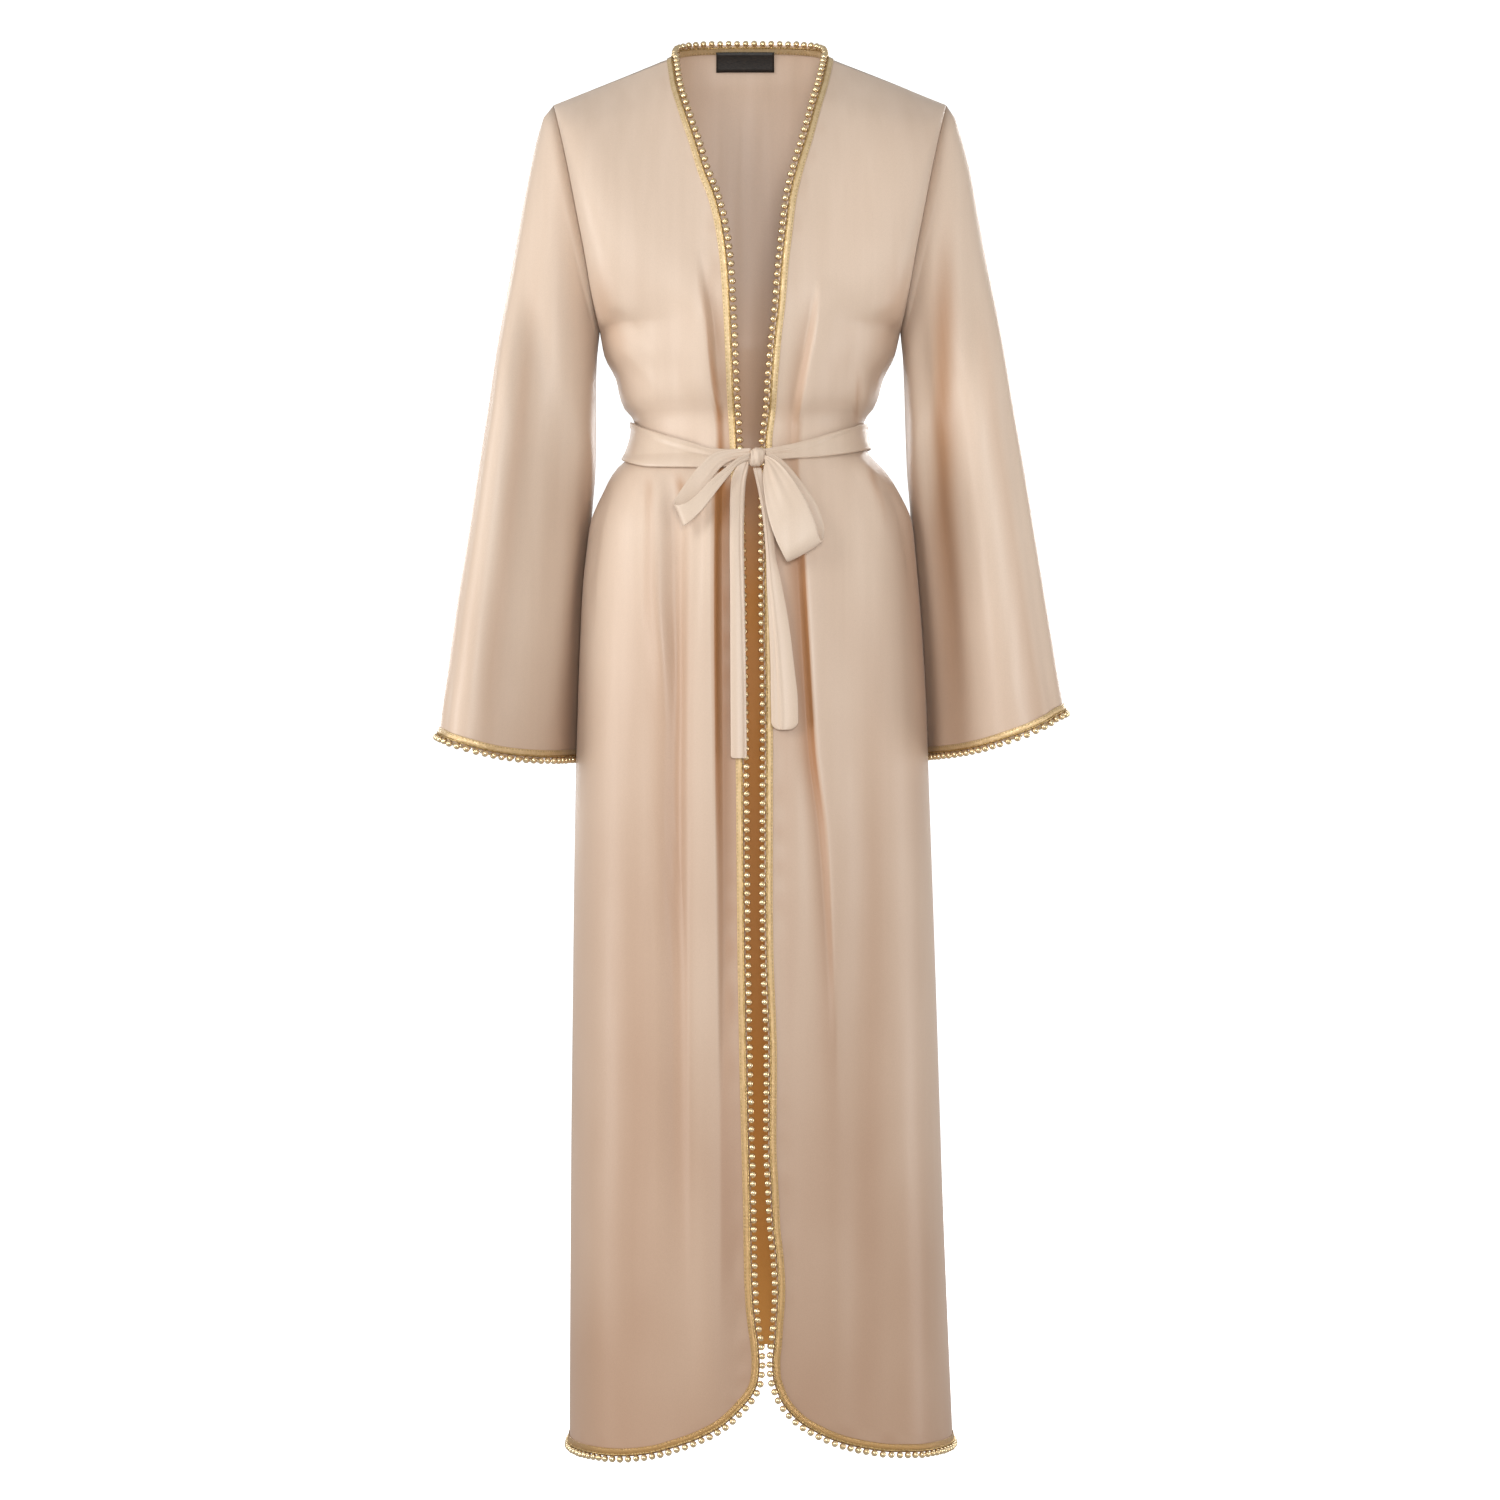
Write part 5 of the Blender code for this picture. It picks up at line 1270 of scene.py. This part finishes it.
# side, lines of vertices, columns between them, edge, hem, folds, creases, painted shade, seed of the waves
FRONTS = {
    "left": (-1, LINES_LEFT, (26, 16, 7, 8), EDGE_LEFT, HEM_LEFT, FOLDS_LEFT, CREASES_LEFT, PAINTED_SHADE_LEFT, 1.1),
    "right": (1, LINES_RIGHT, (16, 18, 7, 14), EDGE_RIGHT, HEM_RIGHT, FOLDS_RIGHT, CREASES_RIGHT,
              PAINTED_SHADE_RIGHT, 2.3),
}
for name, values in FRONTS.items():
    points, quads, normals, outside, inside, tone = front_panel(*values)
    cloth = add_panel(f"front_{name}", points, normals, quads, tone=tone)
    up = normals[inside] / np.linalg.norm(normals[inside], axis=1)[:, None]
    trims = add_trim(f"front_{name}", points[outside], points[inside], up, BEAD_PITCH)

points, quads, normals, columns, neck = back_panel()
cloth = add_panel("back", points, normals, quads, lining=INSIDE_SHADE_AND_GLOW)
top = np.array(neck)
rim = points[top]
foot = rim + (points[top + YOKE_PARTS * columns] - rim) * NECK_TAPE
up = normals[top + 2 * columns]
neck_out = add_tape("tape_neck_outside_band", rim, foot, up, TAPE_GOLD, ["tape_neck_outside"])
neck_in = add_tape("tape_neck_inside_band", rim - up * WALL, foot - up * WALL, up, TAPE_GOLD,
                   ["tape_neck_inside"], face=-1.0)
outward = rim - foot
neck_beads = add_beads("beads_neck", rim - up * WALL / 2, up, outward, BEAD_PITCH, lift=0.0, push=1.6)
neck_braid = add_braid("braid_neck_inside", rim - up * (WALL + 3.4), up, outward)
hem_trims = add_trim("back_hem", *last_rows(points, normals, columns), BEAD_PITCH)

# The bare label on the inside of the back neck.
rows = []
across = np.linspace(-35, 25, 21)
for level in np.linspace(0.986, 0.92, 7):
    middle = back_yoke(level, np.linspace(0, 1, 241))[70:171]
    rows.append(np.stack([across] + [np.interp(across, middle[:, 0], middle[:, k]) for k in (1, 2)], -1))
grid = np.concatenate(rows)
quads = flip(grid_quads(len(rows), len(across)))
up = normals_of(grid, quads)
base = WALL + LIFT + TAPE_WALL + TAPE_CROWN + 1.9
add_shell("neck_label_cloth", grid - up * (base + 0.8), grid - up * base, quads, LABEL, "label",
          ["neck_label"])

SLEEVES = {
    "left": (-1, SLEEVE_LEFT, FOLDS_SLEEVE_LEFT, PAINTED_SHADE_SLEEVE_LEFT, 4.2),
    "right": (1, SLEEVE_RIGHT, FOLDS_SLEEVE_RIGHT, PAINTED_SHADE_SLEEVE_RIGHT, 5.7),
}
for name, values in SLEEVES.items():
    points, quads, normals, columns, tone = sleeve(*values)
    cloth = add_panel(f"sleeve_{name}", points, normals, quads, tone=tone)
    trims = add_trim(f"cuff_{name}", *last_rows(points, normals, columns), CUFF_PITCH, closed=True)


def add_belt_cloth(name, outer, inner, quads, uv):
    cloth = add_shell(f"belt_{name}_cloth", outer, inner, quads, BELT_SATIN, "belt", [f"belt_{name}"], uv)


add_belt_cloth("band", *belt_band())
points, faces, uv = knot()
add_piece("belt_knot_cloth", points, faces, BELT_SATIN, ["belt_knot"], uv)
add_belt_cloth("loop_left", *loop(LOOP_LEFT, 0.9, 0.4))
add_belt_cloth("loop_right", *loop(LOOP_RIGHT, 1.0, 1.2))
add_belt_cloth("tail_left", *tail(TAIL_LEFT, 0.31, 3.0))
add_belt_cloth("tail_right", *tail(TAIL_RIGHT, -0.3, 7.0))

# Floor and backdrop in one round bowl: radius and height from the middle out
FLOOR, FLAT, CURVE = -1.52, 6.0, 1.6
profile = [(0.02, FLOOR), (2.0, FLOOR), (4.0, FLOOR), (FLAT, FLOOR)]
profile += [(FLAT + CURVE * math.sin(a), FLOOR + CURVE - CURVE * math.cos(a))
            for a in np.linspace(0, math.pi / 2, 14)[1:]] + [(FLAT + CURVE, 7.0)]
spokes, size = 96, len(profile)
verts = [(r * math.cos(math.tau * k / spokes), r * math.sin(math.tau * k / spokes), z)
         for k in range(spokes) for r, z in profile]
faces = [tuple(range(0, spokes * size, size))]
for k in range(spokes):
    m = (k + 1) % spokes
    faces += [(k * size + i, k * size + i + 1, m * size + i + 1, m * size + i) for i in range(size - 1)]
bowl = bpy.data.meshes.new("studio_bowl")
bowl.from_pydata(verts, [], faces)
bowl.polygons.foreach_set("use_smooth", [True] * len(bowl.polygons))
stage_material, tree, shader = new_material("studio_white", 0.9, specular=0.1)
put(tree, shader, {"Base Color": (0.92, 0.92, 0.92, 1.0), "Emission Color": WHITE, "Emission Strength": 0.8})
bowl.materials.append(stage_material)
stage = bpy.data.objects.new("studio_bowl", bowl)
link(stage)
stage.visible_diffuse = stage.visible_glossy = stage.visible_shadow = False

world = bpy.data.worlds.new("studio")
bpy.context.scene.world = world
world.use_nodes = True
put(world.node_tree, world.node_tree.nodes["Background"], {"Color": WHITE, "Strength": 0.44})

# Soft lights: name, place, what it points at, width and height, watts
LIGHTS = (
    ("key", (-1.7, -2.7, 0.8), (0, 0, -0.5), (0.9, 1.4), 23),
    ("front", (0.15, -3.5, -0.25), (0, 0, -0.6), (0.5, 0.5), 44),
    ("fill", (1.5, -3.1, -0.2), (0, 0, -0.7), (0.8, 1.2), 9),
    ("left", (-2.5, -0.9, -0.5), (0, 0, -0.65), (1.0, 1.8), 35),
    ("right", (2.6, -0.3, -1.1), (0, 0, -1.05), (1.0, 1.6), 22),
    ("back_left", (1.6, 3.0, 0.4), (0, 0, -0.6), (1.2, 1.8), 44),
    ("back_right", (-1.6, 3.0, 0.0), (0, 0, -0.7), (1.0, 1.6), 20),
)
for name, place, target, size, watts in LIGHTS:
    data = bpy.data.lights.new(name, "AREA")
    data.shape = "RECTANGLE"
    data.size, data.size_y = size
    data.energy = watts
    light = bpy.data.objects.new(name, data)
    light.location = place
    way = np.array(target) - np.array(place)
    pitch = math.atan2(way[2], math.hypot(way[0], way[1]))
    light.rotation_euler = (math.pi / 2 + pitch, 0, -math.atan2(way[0], way[1]))
    link(light)

camera_data = bpy.data.cameras.new("camera")
camera_data.lens = 86.4
camera_data.sensor_width = 36.0
camera_data.clip_end = 50
camera = bpy.data.objects.new("camera", camera_data)
camera.location = (0, -3.6, -0.693)
camera.rotation_euler = (math.pi / 2, 0, 0)
link(camera)
bpy.context.scene.camera = camera
bpy.context.scene.view_settings.view_transform = "Standard"
